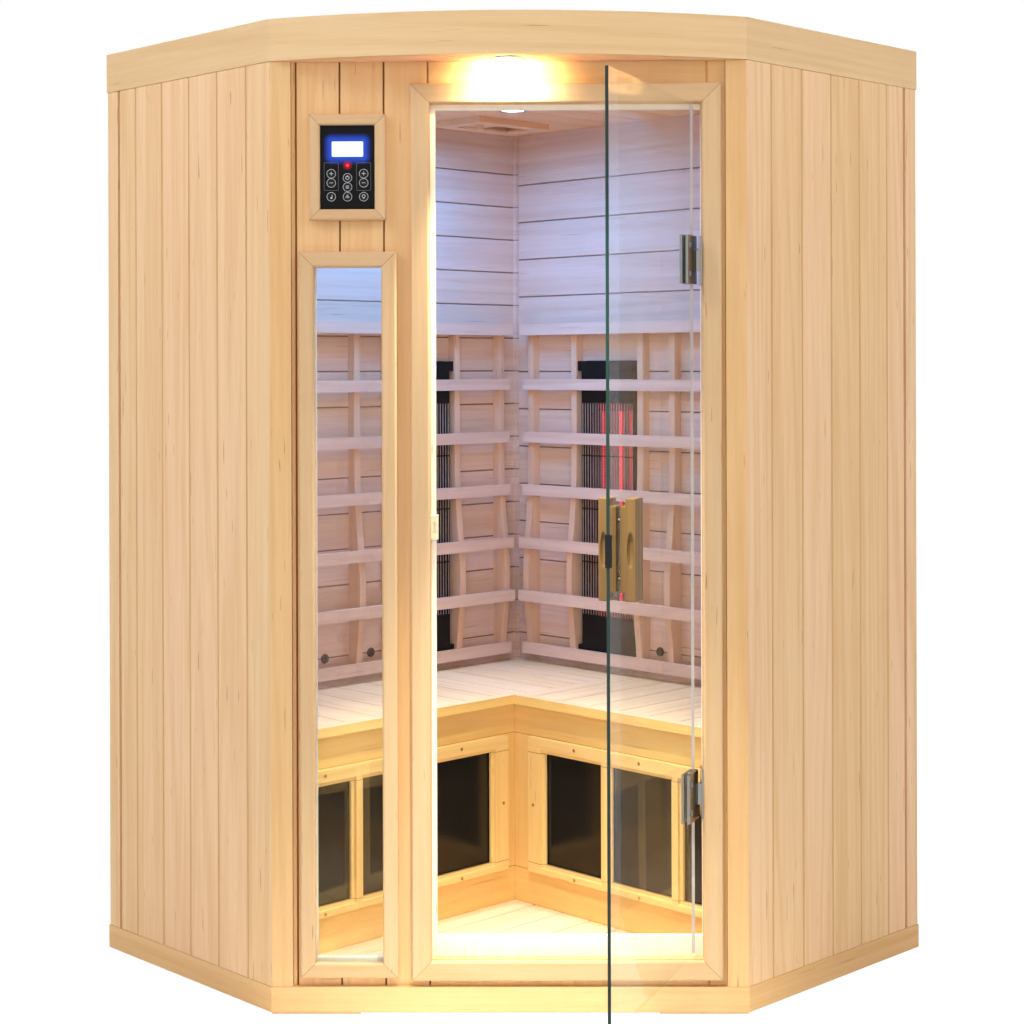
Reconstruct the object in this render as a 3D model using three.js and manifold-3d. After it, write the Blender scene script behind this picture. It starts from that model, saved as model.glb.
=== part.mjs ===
// Corner infrared sauna cabin, in millimetres, +Z up, door towards -Y.
// The plan is a square with one corner cut off: two back walls meet behind at a right angle,
// a short side wall runs forward from the end of each, and the front joins them across the cut.
// The origin is on the floor, midway between the front and the rear corner.
import * as THREE from 'three';
import { mergeVertices } from 'three/addons/utils/BufferGeometryUtils.js';
import Module from 'manifold-3d';

const wasm = await Module();
wasm.setup();

// Cabin shell
const BACK_LENGTH = 1212;
const SIDE_LENGTH = 568;
const CLADDING = 30;
const LINING = 15;
const FIT = 0.3;
const WALL = CLADDING + FIT + LINING;
const FOOT_HEIGHT = 3;
const FOOT_LENGTH = 170;
const FOOT_WIDTH = 60;
const PLINTH_TOP = 51;
const WALL_TOP = 1819;
const ROOF_TOP = 1900;
const SKIRT_PROUD = 2;

// Boards
const GROOVE_WIDTH = 5;
const GROOVE_DEPTH = 4;
const SIDE_BOARD = 96.6;
const SIDE_FIRST_BOARD = 76;
const FRONT_BOARD = 84.3;
const LINING_BOARDS = { left: { first: 97, pitch: 83 }, right: { first: 124, pitch: 94.6 } };
const FLOOR_BOARD = 85;
const SEAT_BOARD = 85;
const CEILING_BOARD = 90;
const REAR_TRIM = 37;
const TRIM_GAP = 9;
const TRIM_GAP_DEPTH = 6;
const CORNER_BATTEN = 10;

// Floor
const DECK_TOP = 16;
const FLOOR_THICKNESS = 14;

// Roof
const ROOF_BOW = 82;
const FASCIA = 18;
const CEILING = 14;
const COVER = 6;
const COVER_DROP = 16;

// Front wall
const POST_FACE = 40;
const POST_DEPTH = 45;
const POST_BACK = 42;
const FRONT_RECESS = 10;
const FRONT_PANEL = 20;
const CASING_PROUD = 16;
const CASING_CHAMFER = 3;
const STOP_LIP = 9.4;
const SILL_STOP = 38;
const SEAM_MARGIN = { left: 3.5, right: 10 };

// Door opening and the fixed window beside it
const DOOR_MARGIN = 45;
const DOOR_SILL = 101;
const HEADER = 80;
const DOOR_CASING = 37;
const DOOR_CASING_FOOT = 37;
const WINDOW_MARGIN = 44;
const WINDOW_WIDTH = 129;
const WINDOW_SILL = 98;
const MULLION = 92;
const WINDOW_CASING = 29;
const WINDOW_REBATE = 10;
const WINDOW_GLASS = 6;

// Glass door
const DOOR_ANGLE = THREE.MathUtils.degToRad(68.8);
const DOOR_GLASS = 6;
const HINGE_AXIS_GAP = 18;
const HINGE_SETBACK = 8;
const GLASS_HINGE_GAP = 6;
const GLASS_LATCH_GAP = 6;
const GLASS_HEAD_GAP = 3;
const GLASS_SILL_GAP = 14;
const UPPER_HINGE_DROP = 302;
const LOWER_HINGE_RISE = 317;
const HINGE_HEIGHT = 92;
const KNUCKLE_HEIGHT = 40;
const KNUCKLE_RADIUS = 8.2;
const LEAF_THICKNESS = 3.5;
const LEAF_DEPTH = 44;
const CLAMP_REACH = 56;
const CLAMP_PLATE = 5;
const CLAMP_CORE = 20;
const CLAMP_SETBACK = 5;
const NOTCH_CLEARANCE = 1;
const PIN_RADIUS = 4;
const PIN_CLEARANCE = 0.1;
const RUNNING_GAP = 0.6;

// Door handle and latch
const HANDLE_HEIGHT = 925;
const HANDLE_INSET = 66;
const HANDLE_BASE_WIDTH = 30;
const HANDLE_BASE_HEIGHT = 146;
const HANDLE_BASE_DEPTH = 12;
const GRIP_WIDTH = 42;
const GRIP_HEIGHT = 174;
const GRIP_DEPTH = 17.5;
const GRIP_SCOOP_LENGTH = 62;
const GRIP_SCOOP_DEPTH = 7;
const BOLT_RADIUS = 4;
const BOLT_SPACING = 100;
const BOLT_CLEARANCE = 1;
const BOLT_ENGAGEMENT = 10;
const LATCH_HEIGHT = 927;
const STRIKE_LENGTH = 55;
const STRIKE_WIDTH = 7;
const STRIKE_SHEET = 1.5;
const CATCH_HEIGHT = 46;
const CATCH_REACH = 14;
const CATCH_GAP = 1;
const CATCH_SLOT = 4;
const CATCH_SLOT_HEIGHT = 22;

// Control panel
const CONTROL_DROP = 202.5;
const CONTROL_GAP = 60;
const FACEPLATE_WIDTH = 104;
const FACEPLATE_HEIGHT = 160;
const FACEPLATE_THICKNESS = 8;
const CONTROL_CASING = 21;
const KEY_RADIUS = 7;
const KEY_THICKNESS = 3;
const KEY_PROUD = 1;
const KEY_TRAVEL = 0.6;
const KEY_COLUMN = 31;
const KEY_ROW = 17.6;
const KEY_TOP_DROP = 12;
const KEY_CENTRE_DROP = 20;
const KEY_FOOT_DROP = 56;
const DISPLAY_WIDTH = 63;
const DISPLAY_HEIGHT = 32;
const DISPLAY_RISE = 35;
const DISPLAY_RECESS = 1;

// Bench
const SEAT_TOP = 497;
const SEAT_THICKNESS = 20;
const SEAT_DEPTH = 396;
const SEAT_OVERHANG = 18;
const SEAT_NOSING = 22;
const BENCH_BOARD = 18;
const CALF_FRAME = 14;
const CALF_STILE = 32;
const CALF_PANES = 3;
const CALF_END_STILE = 48;
const CALF_BEAD = 8;
const CALF_MARGINS = { left: { corner: 32, end: 46 }, right: { corner: 57, end: 20 } };
const CALF_DROP = 88;
const CALF_RISE = 77;
const CALF_TOP_RAIL = 34;
const CALF_FOOT_RAIL = 22;
const CALF_LIP = 10;
const CALF_PANEL = 8;
const CALF_RECESS = 2;

// Backrest
const BACKREST_CORNER_GAP = 3;
const BACKREST_END_GAP = 88;
const RIB_THICKNESS = 18;
const RIB_INSET = 8;
const RIB_CAP_GAP = 2;
const RIB_BAY = 99;
const RIB_DEPTH = 22;
const RIB_LUMBAR = 20;
const LUMBAR_RISE = 217;
const LUMBAR_SPREAD = 150;
const RIB_STEPS = 14;
const SLAT_HEIGHT = 27;
const SLAT_THICKNESS = 12;
const SLAT_PITCH = 132;
const SLAT_COUNT = 6;
const SLAT_RISE = 33;
const TOP_RAIL_RISE = 123;
const TOP_RAIL_HEIGHT = 28;
const TOP_RAIL_DEPTH = 46;

// Tube heaters behind the backrests
const HEATER_CENTRE = 379;
const HEATER_WIDTH = 170;
const HEATER_RISE = 46;
const HEATER_HEIGHT = 705;
const HEATER_CAP_WIDTH = 196;
const HEATER_CAP_TOP = 24;
const HEATER_CAP_FOOT = 12;
const HEATER_UPPER_BOX = 76;
const HEATER_LOWER_BOX = 73;
const HEATER_PROUD = 20;
const HEATER_SUNK = 24;
const HEATER_SHEET = 2;
const HEATER_POCKET = 1;
const GRILLE_WIRE = 1.8;
const GRILLE_WIRES = 20;
const GRILLE_BARS = 5;
const TUBE_RADIUS = 7;
const TUBE_SPACING = 56;
const TUBE_BLOCK = 22;

// Lights, vent and power unit in the roof
const SPOT_RADIUS = 32;
const SPOT_FLANGE = 4;
const SPOT_FLANGE_WIDTH = 5;
const SPOT_DEPTH = 36;
const SPOT_DISH = 2.5;
const SPOT_SETBACK = 33;
const CEILING_SPOT_Y = 56;
const VENT_X = -49;
const VENT_Y = 284;
const VENT_LENGTH = 230;
const VENT_WIDTH = 147;
const VENT_FRAME = 14;
const VENT_HOLE = 80;
const VENT_LIP = 8;
const VENT_TRAVEL = 90;
const VENT_LIP_HEIGHT = 5;
const VENT_SLIDE = 6;
const VENT_SLIDE_LAP = 8;
const VENT_KNOB_RADIUS = 9;
const VENT_KNOB_HEIGHT = 12;
const POWER_LENGTH = 260;
const POWER_WIDTH = 150;
const POWER_HEIGHT = 38;
const POWER_X = 150;
const POWER_Y = -180;
const GLAND_RADIUS = 11;
const GLAND_INSET = 30;
const GLAND_RISE = 12;
const GLAND_CLEARANCE = 1;

// Values worked out from those above
const DIAGONAL = Math.SQRT1_2;
const REAR_Y = (BACK_LENGTH + SIDE_LENGTH) * DIAGONAL / 2;
const FRONT_Y = -REAR_Y;
const FRONT_HALF = (BACK_LENGTH - SIDE_LENGTH) * DIAGONAL;
const SHELL_BOTTOM = PLINTH_TOP + FIT;
const ROOF_BOTTOM = WALL_TOP + FIT;
const FLOOR_BOTTOM = DECK_TOP + FIT;
const FLOOR_TOP = FLOOR_BOTTOM + FLOOR_THICKNESS;
const PANEL_FACE = FRONT_Y + FRONT_RECESS;
const PANEL_BACK = PANEL_FACE + FRONT_PANEL;
const LINING_FACE = PANEL_BACK + FIT;
const FRONT_INSIDE = FRONT_Y + POST_DEPTH;
const PANEL_HALF = FRONT_HALF - POST_FACE - FIT;
const WINDOW_LEFT = WINDOW_MARGIN - PANEL_HALF;
const WINDOW_RIGHT = WINDOW_LEFT + WINDOW_WIDTH;
const CONTROL_X = (WINDOW_LEFT + WINDOW_RIGHT) / 2;
const CONTROL_Z = WALL_TOP - CONTROL_DROP;
const CONTROL_FOOT = CONTROL_Z - FACEPLATE_HEIGHT / 2 - FIT - CONTROL_CASING;
const WINDOW_HEAD = CONTROL_FOOT - CONTROL_GAP - WINDOW_CASING;
const DOOR_LEFT = WINDOW_RIGHT + MULLION;
const DOOR_RIGHT = PANEL_HALF - DOOR_MARGIN;
const DOOR_HEAD = WALL_TOP - HEADER;
const HINGE_HEIGHTS = { upper: DOOR_HEAD - UPPER_HINGE_DROP, lower: DOOR_SILL + LOWER_HINGE_RISE };
const AXIS_X = DOOR_RIGHT - HINGE_AXIS_GAP;
const AXIS_Y = FRONT_Y + HINGE_SETBACK;
const GLASS_REACH = AXIS_X - DOOR_LEFT - GLASS_LATCH_GAP;
const BENCH_FACE = WALL + FIT + SEAT_DEPTH - SEAT_OVERHANG;
const SEAT_EDGE = WALL + FIT + SEAT_DEPTH;
const WING_END = BACK_LENGTH - WALL - FIT;
const CALF_TOP = SEAT_TOP - CALF_DROP;
const CALF_BOTTOM = FLOOR_TOP + CALF_RISE;
const LUMBAR_HEIGHT = SEAT_TOP + LUMBAR_RISE;
const FIRST_SLAT = SEAT_TOP + SLAT_RISE;
const TOP_RAIL_BOTTOM = FIRST_SLAT + (SLAT_COUNT - 1) * SLAT_PITCH + TOP_RAIL_RISE;
const HEATER_BOTTOM = SEAT_TOP + HEATER_RISE;
const HEATER_TOP = HEATER_BOTTOM + HEATER_HEIGHT;
const BACKREST_END = WING_END - BACKREST_END_GAP;
const BACKREST_START = WALL + FIT + RIB_DEPTH + RIB_LUMBAR + SLAT_THICKNESS + BACKREST_CORNER_GAP;
const CIRCLE_SIDES = 24;
const KEY_SIDES = 16;
const BOLT_SIDES = 12;
const OVERCUT = 1;

// Materials
const pine = new THREE.MeshStandardMaterial({ color: 0xe8c58f, roughness: 0.6, metalness: 0 });
const paleWood = new THREE.MeshStandardMaterial({ color: 0xe6d2b8, roughness: 0.65, metalness: 0 });
const gripWood = new THREE.MeshStandardMaterial({ color: 0xc9a15e, roughness: 0.5, metalness: 0 });
const clearGlass = new THREE.MeshStandardMaterial({ color: 0xcfe4dc, roughness: 0.05, metalness: 0,
  transparent: true, opacity: 0.3 });
const chrome = new THREE.MeshStandardMaterial({ color: 0xb9bdc2, roughness: 0.2, metalness: 1 });
const blackPlastic = new THREE.MeshStandardMaterial({ color: 0x15161a, roughness: 0.35, metalness: 0 });
const keyPlastic = new THREE.MeshStandardMaterial({ color: 0x2a2c32, roughness: 0.5, metalness: 0 });
const blackSteel = new THREE.MeshStandardMaterial({ color: 0x1b1b1d, roughness: 0.5, metalness: 0.6 });
const carbon = new THREE.MeshStandardMaterial({ color: 0x161513, roughness: 0.4, metalness: 0 });
const quartz = new THREE.MeshStandardMaterial({ color: 0xd8402c, roughness: 0.2, metalness: 0 });
const creamPlastic = new THREE.MeshStandardMaterial({ color: 0xeee0bf, roughness: 0.5, metalness: 0 });
const lampMetal = new THREE.MeshStandardMaterial({ color: 0xd9d9d6, roughness: 0.3, metalness: 0.8 });

// Geometry helpers
const point = (x, y) => new THREE.Vector2(x, y);

function box(x0, x1, y0, y1, z0, z1) {
  return new THREE.BoxGeometry(x1 - x0, y1 - y0, z1 - z0)
    .translate((x0 + x1) / 2, (y0 + y1) / 2, (z0 + z1) / 2);
}

// Upright prism on a plan outline
function prism(outline, z0, z1) {
  return new THREE.ExtrudeGeometry(new THREE.Shape(outline), { depth: z1 - z0, bevelEnabled: false })
    .translate(0, 0, z0);
}

// Prism along X of an outline in (y, z)
function prismAlongX(outline, x0, x1) {
  return prism(outline, x0, x1).rotateZ(Math.PI / 2).rotateY(Math.PI / 2);
}

// Prism along Y of an outline in (x, z)
function prismAlongY(outline, y0, y1) {
  return prism(outline, -y1, -y0).rotateX(Math.PI / 2);
}

// Upright cylinder round (x, y)
function cylinder(radius, x, y, z0, z1, sides = CIRCLE_SIDES) {
  return new THREE.CylinderGeometry(radius, radius, z1 - z0, sides)
    .rotateX(Math.PI / 2)
    .translate(x, y, (z0 + z1) / 2);
}

// Cylinder along Y round (x, z)
function cylinderAlongY(radius, x, z, y0, y1, sides = CIRCLE_SIDES) {
  return new THREE.CylinderGeometry(radius, radius, y1 - y0, sides).translate(x, (y0 + y1) / 2, z);
}

function toSolid(geometry) {
  if (geometry instanceof wasm.Manifold) return geometry;
  const bare = geometry.clone();
  bare.deleteAttribute('normal');
  bare.deleteAttribute('uv');
  const welded = mergeVertices(bare, 1e-3);
  return new wasm.Manifold(new wasm.Mesh({
    numProp: 3,
    vertProperties: new Float32Array(welded.attributes.position.array),
    triVerts: new Uint32Array(welded.index.array),
  }));
}

function toGeometry(shape) {
  if (shape instanceof THREE.BufferGeometry) return shape;
  const mesh = shape.getMesh();
  const geometry = new THREE.BufferGeometry();
  geometry.setAttribute('position', new THREE.BufferAttribute(mesh.vertProperties, 3));
  geometry.setIndex(new THREE.BufferAttribute(mesh.triVerts, 1));
  geometry.computeVertexNormals();
  return geometry;
}

const join = (...pieces) => pieces.map(toSolid).reduce((whole, piece) => whole.add(piece));
const cut = (piece, ...tools) => (
  tools.map(toSolid).reduce((left, tool) => left.subtract(tool), toSolid(piece))
);

function part(name, shape, material) {
  const mesh = new THREE.Mesh(toGeometry(shape), material);
  mesh.name = name;
  return mesh;
}

// Seam distances along a run of boards, at least a groove away from either end
function seams(length, first, pitch) {
  const found = [];
  for (let at = first; at < length - GROOVE_WIDTH; at += pitch) found.push(at);
  return found;
}

// The same seams met from the far end of the run
const reversed = (seamList, length) => seamList.map((seam) => length - seam).reverse();

// Points from a towards b of a boarded edge, with a V-groove cut to the left at each seam
function boardedEdge(a, b, seamList) {
  const along = b.clone().sub(a).normalize();
  const inward = point(-along.y, along.x);
  const at = (distance, depth) => a.clone().addScaledVector(along, distance).addScaledVector(inward, depth);
  const points = [a];
  for (const seam of seamList) {
    points.push(at(seam - GROOVE_WIDTH / 2, 0), at(seam, GROOVE_DEPTH), at(seam + GROOVE_WIDTH / 2, 0));
  }
  return points;
}

// Rectangle outline
const rectangle = (x0, x1, y0, y1) => [point(x0, y0), point(x1, y0), point(x1, y1), point(x0, y1)];

// Cabin outline drawn in by inset: front left, front right, right, rear and left corners
function planOutline(inset) {
  const frontX = FRONT_HALF - inset * Math.tan(Math.PI / 8);
  const outerX = BACK_LENGTH * DIAGONAL - inset * Math.SQRT2;
  const outerY = REAR_Y - BACK_LENGTH * DIAGONAL;
  return [
    point(-frontX, FRONT_Y + inset),
    point(frontX, FRONT_Y + inset),
    point(outerX, outerY),
    point(0, REAR_Y - inset * Math.SQRT2),
    point(-outerX, outerY),
  ];
}

// Roof outline: the cabin outline with its front edge bowed out as an arc
function roofOutline(inset) {
  const [left, right, ...rest] = planOutline(inset);
  const radius = (right.x ** 2 + ROOF_BOW ** 2) / (2 * ROOF_BOW);
  const centreY = left.y - ROOF_BOW + radius;
  const halfAngle = Math.asin(right.x / radius);
  const middle = -Math.PI / 2;
  const arc = new THREE.EllipseCurve(0, centreY, radius, radius, middle - halfAngle, middle + halfAngle);
  return [...arc.getPoints(CIRCLE_SIDES), ...rest];
}

// V-groove prism along X for boards that lie flat
function flatGroove(x0, x1, y, z, side) {
  const depth = GROOVE_DEPTH * side;
  const lip = OVERCUT * side;
  const half = GROOVE_WIDTH / 2;
  const slope = half / GROOVE_DEPTH;
  const reach = half + OVERCUT * slope;
  const outline = [point(y - reach, z + lip), point(y, z - depth), point(y + reach, z + lip)];
  return prismAlongX(side > 0 ? outline : outline.reverse(), x0, x1);
}

// Parallel grooves over a square of the given half size
function flatGrooves(half, pitch, z, side) {
  const tools = [];
  for (let y = pitch / 2; y < half; y += pitch) {
    tools.push(flatGroove(-half, half, y, z, side), flatGroove(-half, half, -y, z, side));
  }
  return tools;
}

const turned = (geometry, angle) => geometry.rotateZ(angle);

// Base: a tray whose rim carries the walls and whose deck carries the floor, on thin feet
function baseTray() {
  const tray = cut(
    prism(planOutline(-SKIRT_PROUD), FOOT_HEIGHT, PLINTH_TOP),
    prism(planOutline(WALL), DECK_TOP, PLINTH_TOP + OVERCUT),
  );
  const [, frontRight, right, rear] = planOutline(0);
  const foot = (x, y, angle) => turned(
    box(-FOOT_LENGTH / 2, FOOT_LENGTH / 2, -FOOT_WIDTH / 2, FOOT_WIDTH / 2, 0, FOOT_HEIGHT + OVERCUT),
    angle,
  ).translate(x, y, 0);
  const frontFootX = frontRight.x - FOOT_LENGTH / 2;
  const footY = FRONT_Y + FOOT_WIDTH / 2;
  const sideFootX = right.x - FOOT_LENGTH * DIAGONAL;
  const feet = [
    foot(-frontFootX, footY, 0),
    foot(frontFootX, footY, 0),
    foot(-sideFootX, right.y, Math.PI / 2),
    foot(sideFootX, right.y, Math.PI / 2),
    foot(0, rear.y - FOOT_LENGTH * DIAGONAL, 0),
    foot(0, 0, 0),
  ];
  return part('base_tray', join(tray, ...feet), pine);
}

// Floor of boards that run with the left back wall
function floorPanel() {
  const panel = prism(planOutline(WALL + FIT), FLOOR_BOTTOM, FLOOR_TOP);
  const grooves = flatGrooves(BACK_LENGTH, FLOOR_BOARD, FLOOR_TOP, 1)
    .map((tool) => turned(tool, Math.PI / 4));
  return part('floor_panel', cut(panel, ...grooves), pine);
}

// One wing: a side wall, a back wall and what hangs on them. In the wing's frame x runs along the
// back wall from the rear corner, y runs inwards from its outer face. The right wing is mirrored.
function sidePanel(side) {
  const corner = point(BACK_LENGTH, SIDE_LENGTH);
  const postEdge = corner.clone().add(point(-POST_FACE * DIAGONAL, POST_FACE * DIAGONAL));
  const postBack = postEdge.clone().sub(point(POST_DEPTH * DIAGONAL, POST_DEPTH * DIAGONAL));
  const inside = BACK_LENGTH - CLADDING;
  const trimmed = BACK_LENGTH - TRIM_GAP_DEPTH;
  const boardsStart = point(BACK_LENGTH, REAR_TRIM + TRIM_GAP);
  const run = SIDE_LENGTH - boardsStart.y;
  const seamList = reversed(seams(run, SIDE_FIRST_BOARD, SIDE_BOARD), run);
  const outline = [
    point(BACK_LENGTH, 0),
    point(BACK_LENGTH, REAR_TRIM),
    point(trimmed, REAR_TRIM),
    point(trimmed, boardsStart.y),
    ...boardedEdge(boardsStart, corner, seamList),
    corner,
    postEdge,
    postBack,
    point(postBack.x, SIDE_LENGTH - POST_BACK),
    point(inside, SIDE_LENGTH - POST_BACK),
    point(inside, 0),
  ];
  return part(`${side}_side_panel`, prism(outline, SHELL_BOTTOM, WALL_TOP), pine);
}

function sideLining(side) {
  const { first, pitch } = LINING_BOARDS[side];
  const face = BACK_LENGTH - WALL;
  const back = BACK_LENGTH - CLADDING - FIT;
  const run = WALL_TOP - SHELL_BOTTOM;
  const top = point(face, WALL_TOP);
  const foot = point(face, SHELL_BOTTOM);
  const outline = [
    ...boardedEdge(top, foot, seams(run, first, pitch)),
    foot,
    point(back, SHELL_BOTTOM),
    point(back, WALL_TOP),
  ];
  const lining = prismAlongY(outline, WALL + FIT, SIDE_LENGTH - POST_BACK - FIT);
  return part(`${side}_side_lining`, lining, paleWood);
}

function heaterPocket(depthFrom, depthTo) {
  const half = HEATER_WIDTH / 2 + HEATER_POCKET;
  return box(HEATER_CENTRE - half, HEATER_CENTRE + half, depthFrom, depthTo,
    HEATER_BOTTOM - HEATER_POCKET, HEATER_TOP + HEATER_POCKET);
}

function backPanel(side) {
  const end = BACK_LENGTH - CLADDING - FIT;
  const mitre = FIT;
  const start = point(mitre, 0);
  const outline = [
    ...boardedEdge(start, point(end, 0), seams(end, SIDE_BOARD, SIDE_BOARD)),
    point(end, 0),
    point(end, CLADDING),
    point(CLADDING + mitre, CLADDING),
  ];
  const panel = prism(outline, SHELL_BOTTOM, WALL_TOP);
  const pocket = heaterPocket(WALL - HEATER_SUNK - FIT, CLADDING + OVERCUT);
  return part(`${side}_back_panel`, cut(panel, pocket), pine);
}

function backLining(side, ownsCorner) {
  const { first, pitch } = LINING_BOARDS[side];
  const face = WALL;
  const back = CLADDING + FIT;
  const run = WALL_TOP - SHELL_BOTTOM;
  const top = point(face, WALL_TOP);
  const foot = point(face, SHELL_BOTTOM);
  const outline = [
    ...boardedEdge(foot, top, reversed(seams(run, first, pitch), run)),
    top,
    point(back, WALL_TOP),
    point(back, SHELL_BOTTOM),
  ];
  const start = ownsCorner ? CLADDING + FIT : WALL + FIT;
  let lining = cut(prismAlongX(outline, start, BACK_LENGTH - CLADDING - FIT),
    heaterPocket(0, WALL + OVERCUT));
  if (ownsCorner) {
    const from = WALL + FIT;
    lining = join(lining, box(from, from + CORNER_BATTEN, WALL - LINING / 2, WALL + CORNER_BATTEN,
      SEAT_TOP + FIT, WALL_TOP));
  }
  return part(`${side}_back_lining`, lining, paleWood);
}

// Bench: boarded seat with a plain nosing, front board, and a framed heating panel set into the front board
function benchSeat(side, ownsCorner) {
  const start = ownsCorner ? WALL + FIT : SEAT_EDGE + FIT;
  const back = WALL + FIT;
  const run = WING_END - start;
  const from = point(WING_END, SEAT_TOP);
  const to = point(start, SEAT_TOP);
  const outline = [
    ...boardedEdge(from, to, seams(run, SEAT_BOARD, SEAT_BOARD)),
    to,
    point(start, SEAT_TOP - SEAT_THICKNESS),
    point(WING_END, SEAT_TOP - SEAT_THICKNESS),
  ];
  const nosing = box(SEAT_EDGE + FIT, WING_END, SEAT_EDGE - SEAT_NOSING, SEAT_EDGE,
    SEAT_TOP - SEAT_THICKNESS, SEAT_TOP);
  return part(`${side}_bench_seat`, join(prismAlongY(outline, back, SEAT_EDGE), nosing), paleWood);
}

// Edges of the heating panel's frame, of its panes and of the hole behind them
function calfLayout(side) {
  const left = BENCH_FACE + CALF_MARGINS[side].corner;
  const right = WING_END - CALF_MARGINS[side].end;
  const stiles = 2 * CALF_END_STILE + (CALF_PANES - 1) * CALF_STILE;
  const pane = (right - left - stiles) / CALF_PANES;
  const foot = CALF_BOTTOM + CALF_FOOT_RAIL;
  const head = CALF_TOP - CALF_TOP_RAIL;
  const paneLeft = (index) => left + CALF_END_STILE + index * (pane + CALF_STILE);
  const hole = {
    left: left + CALF_END_STILE - CALF_LIP,
    right: right - CALF_END_STILE + CALF_LIP,
    bottom: foot - CALF_LIP,
    top: head + CALF_LIP,
  };
  return { left, right, pane, foot, head, paneLeft, hole };
}

function benchFront(side, ownsCorner) {
  const { hole } = calfLayout(side);
  const start = ownsCorner ? BENCH_FACE - BENCH_BOARD : BENCH_FACE + FIT;
  const board = box(start, WING_END, BENCH_FACE - BENCH_BOARD, BENCH_FACE, FLOOR_TOP + FIT,
    SEAT_TOP - SEAT_THICKNESS - FIT);
  const opening = box(hole.left, hole.right, BENCH_FACE - BENCH_BOARD - OVERCUT, BENCH_FACE + OVERCUT,
    hole.bottom, hole.top);
  return part(`${side}_bench_front`, cut(board, opening), pine);
}

// Frame of three panes, each stepped in to a bead halfway through its depth
function calfFrame(side) {
  const { left, right, pane, foot, head, paneLeft } = calfLayout(side);
  const from = BENCH_FACE + FIT;
  const to = from + CALF_FRAME;
  const middle = from + CALF_FRAME / 2;
  const openings = [];
  for (let index = 0; index < CALF_PANES; index += 1) {
    const x = paneLeft(index);
    openings.push(box(x, x + pane, from - OVERCUT, to, foot, head));
    openings.push(box(x - CALF_BEAD, x + pane + CALF_BEAD, middle, to + OVERCUT,
      foot - CALF_BEAD, head + CALF_BEAD));
  }
  const body = cut(box(left, right, from, to, CALF_BOTTOM, CALF_TOP), ...openings);
  return part(`${side}_calf_heater_frame`, body, pine);
}

function calfHeater(side) {
  const { hole } = calfLayout(side);
  const front = BENCH_FACE - CALF_RECESS;
  const panel = box(hole.left + FIT, hole.right - FIT, front - CALF_PANEL, front,
    hole.bottom + FIT, hole.top - FIT);
  return part(`${side}_calf_heater`, panel, carbon);
}

// Depth of a backrest rib at height z, with its swell at the small of the back
function ribDepth(z) {
  const swell = Math.exp(-(((z - LUMBAR_HEIGHT) / LUMBAR_SPREAD) ** 2));
  return WALL + FIT + RIB_DEPTH + RIB_LUMBAR * swell;
}

// Left edges of the ribs: one at each end, one at each side of the heater and two in the bays beyond it
function ribPlaces() {
  const capHalf = HEATER_CAP_WIDTH / 2 + RIB_CAP_GAP;
  const bay = HEATER_CENTRE + capHalf + RIB_BAY;
  const last = BACKREST_END - RIB_INSET - RIB_THICKNESS;
  return [
    BACKREST_START + RIB_INSET,
    HEATER_CENTRE - capHalf - RIB_THICKNESS,
    HEATER_CENTRE + capHalf,
    bay,
    (bay + last) / 2,
    last,
  ];
}

// Backrest: shaped upright ribs, flat slats across them and a deeper rail along the top
function backrest(side) {
  const back = WALL + FIT;
  const ribFoot = FIRST_SLAT - SLAT_HEIGHT / 2;
  const front = [];
  for (let step = 0; step <= RIB_STEPS; step += 1) {
    const z = ribFoot + (TOP_RAIL_BOTTOM - ribFoot) * (step / RIB_STEPS);
    front.push(point(ribDepth(z), z));
  }
  const profile = [point(back, ribFoot), ...front, point(back, TOP_RAIL_BOTTOM)];
  const ribs = ribPlaces().map((x) => prismAlongX(profile, x, x + RIB_THICKNESS));
  const slats = [];
  for (let slat = 0; slat < SLAT_COUNT; slat += 1) {
    const z = FIRST_SLAT + slat * SLAT_PITCH;
    const seat = Math.min(ribDepth(z - SLAT_HEIGHT / 2), ribDepth(z + SLAT_HEIGHT / 2));
    slats.push(box(BACKREST_START, BACKREST_END, seat - OVERCUT, ribDepth(z) + SLAT_THICKNESS,
      z - SLAT_HEIGHT / 2, z + SLAT_HEIGHT / 2));
  }
  const rail = box(BACKREST_START, BACKREST_END, back, back + TOP_RAIL_DEPTH, TOP_RAIL_BOTTOM - FIT,
    TOP_RAIL_BOTTOM + TOP_RAIL_HEIGHT);
  return part(`${side}_backrest`, join(rail, ...ribs, ...slats), paleWood);
}

// Tube heater: a black trough let into the lining, closed by a box and a cap at each end
const troughBottom = HEATER_BOTTOM + HEATER_CAP_FOOT + HEATER_LOWER_BOX;
const troughTop = HEATER_TOP - HEATER_CAP_TOP - HEATER_UPPER_BOX;
const heaterBack = WALL - HEATER_SUNK;
const heaterFront = WALL + HEATER_PROUD;

function heaterHousing(side) {
  const half = HEATER_WIDTH / 2;
  const capHalf = HEATER_CAP_WIDTH / 2;
  const body = box(HEATER_CENTRE - half, HEATER_CENTRE + half, heaterBack, heaterFront,
    HEATER_BOTTOM, HEATER_TOP);
  const trough = box(HEATER_CENTRE - half + HEATER_SHEET, HEATER_CENTRE + half - HEATER_SHEET,
    heaterBack + HEATER_SHEET, heaterFront + OVERCUT, troughBottom, troughTop);
  const cap = (z0, z1) => box(HEATER_CENTRE - capHalf, HEATER_CENTRE + capHalf, WALL + FIT, heaterFront,
    z0, z1);
  const housing = cut(body, trough)
    .add(toSolid(cap(HEATER_TOP - HEATER_CAP_TOP, HEATER_TOP)))
    .add(toSolid(cap(HEATER_BOTTOM, HEATER_BOTTOM + HEATER_CAP_FOOT)));
  return part(`${side}_heater_housing`, housing, blackSteel);
}

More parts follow.
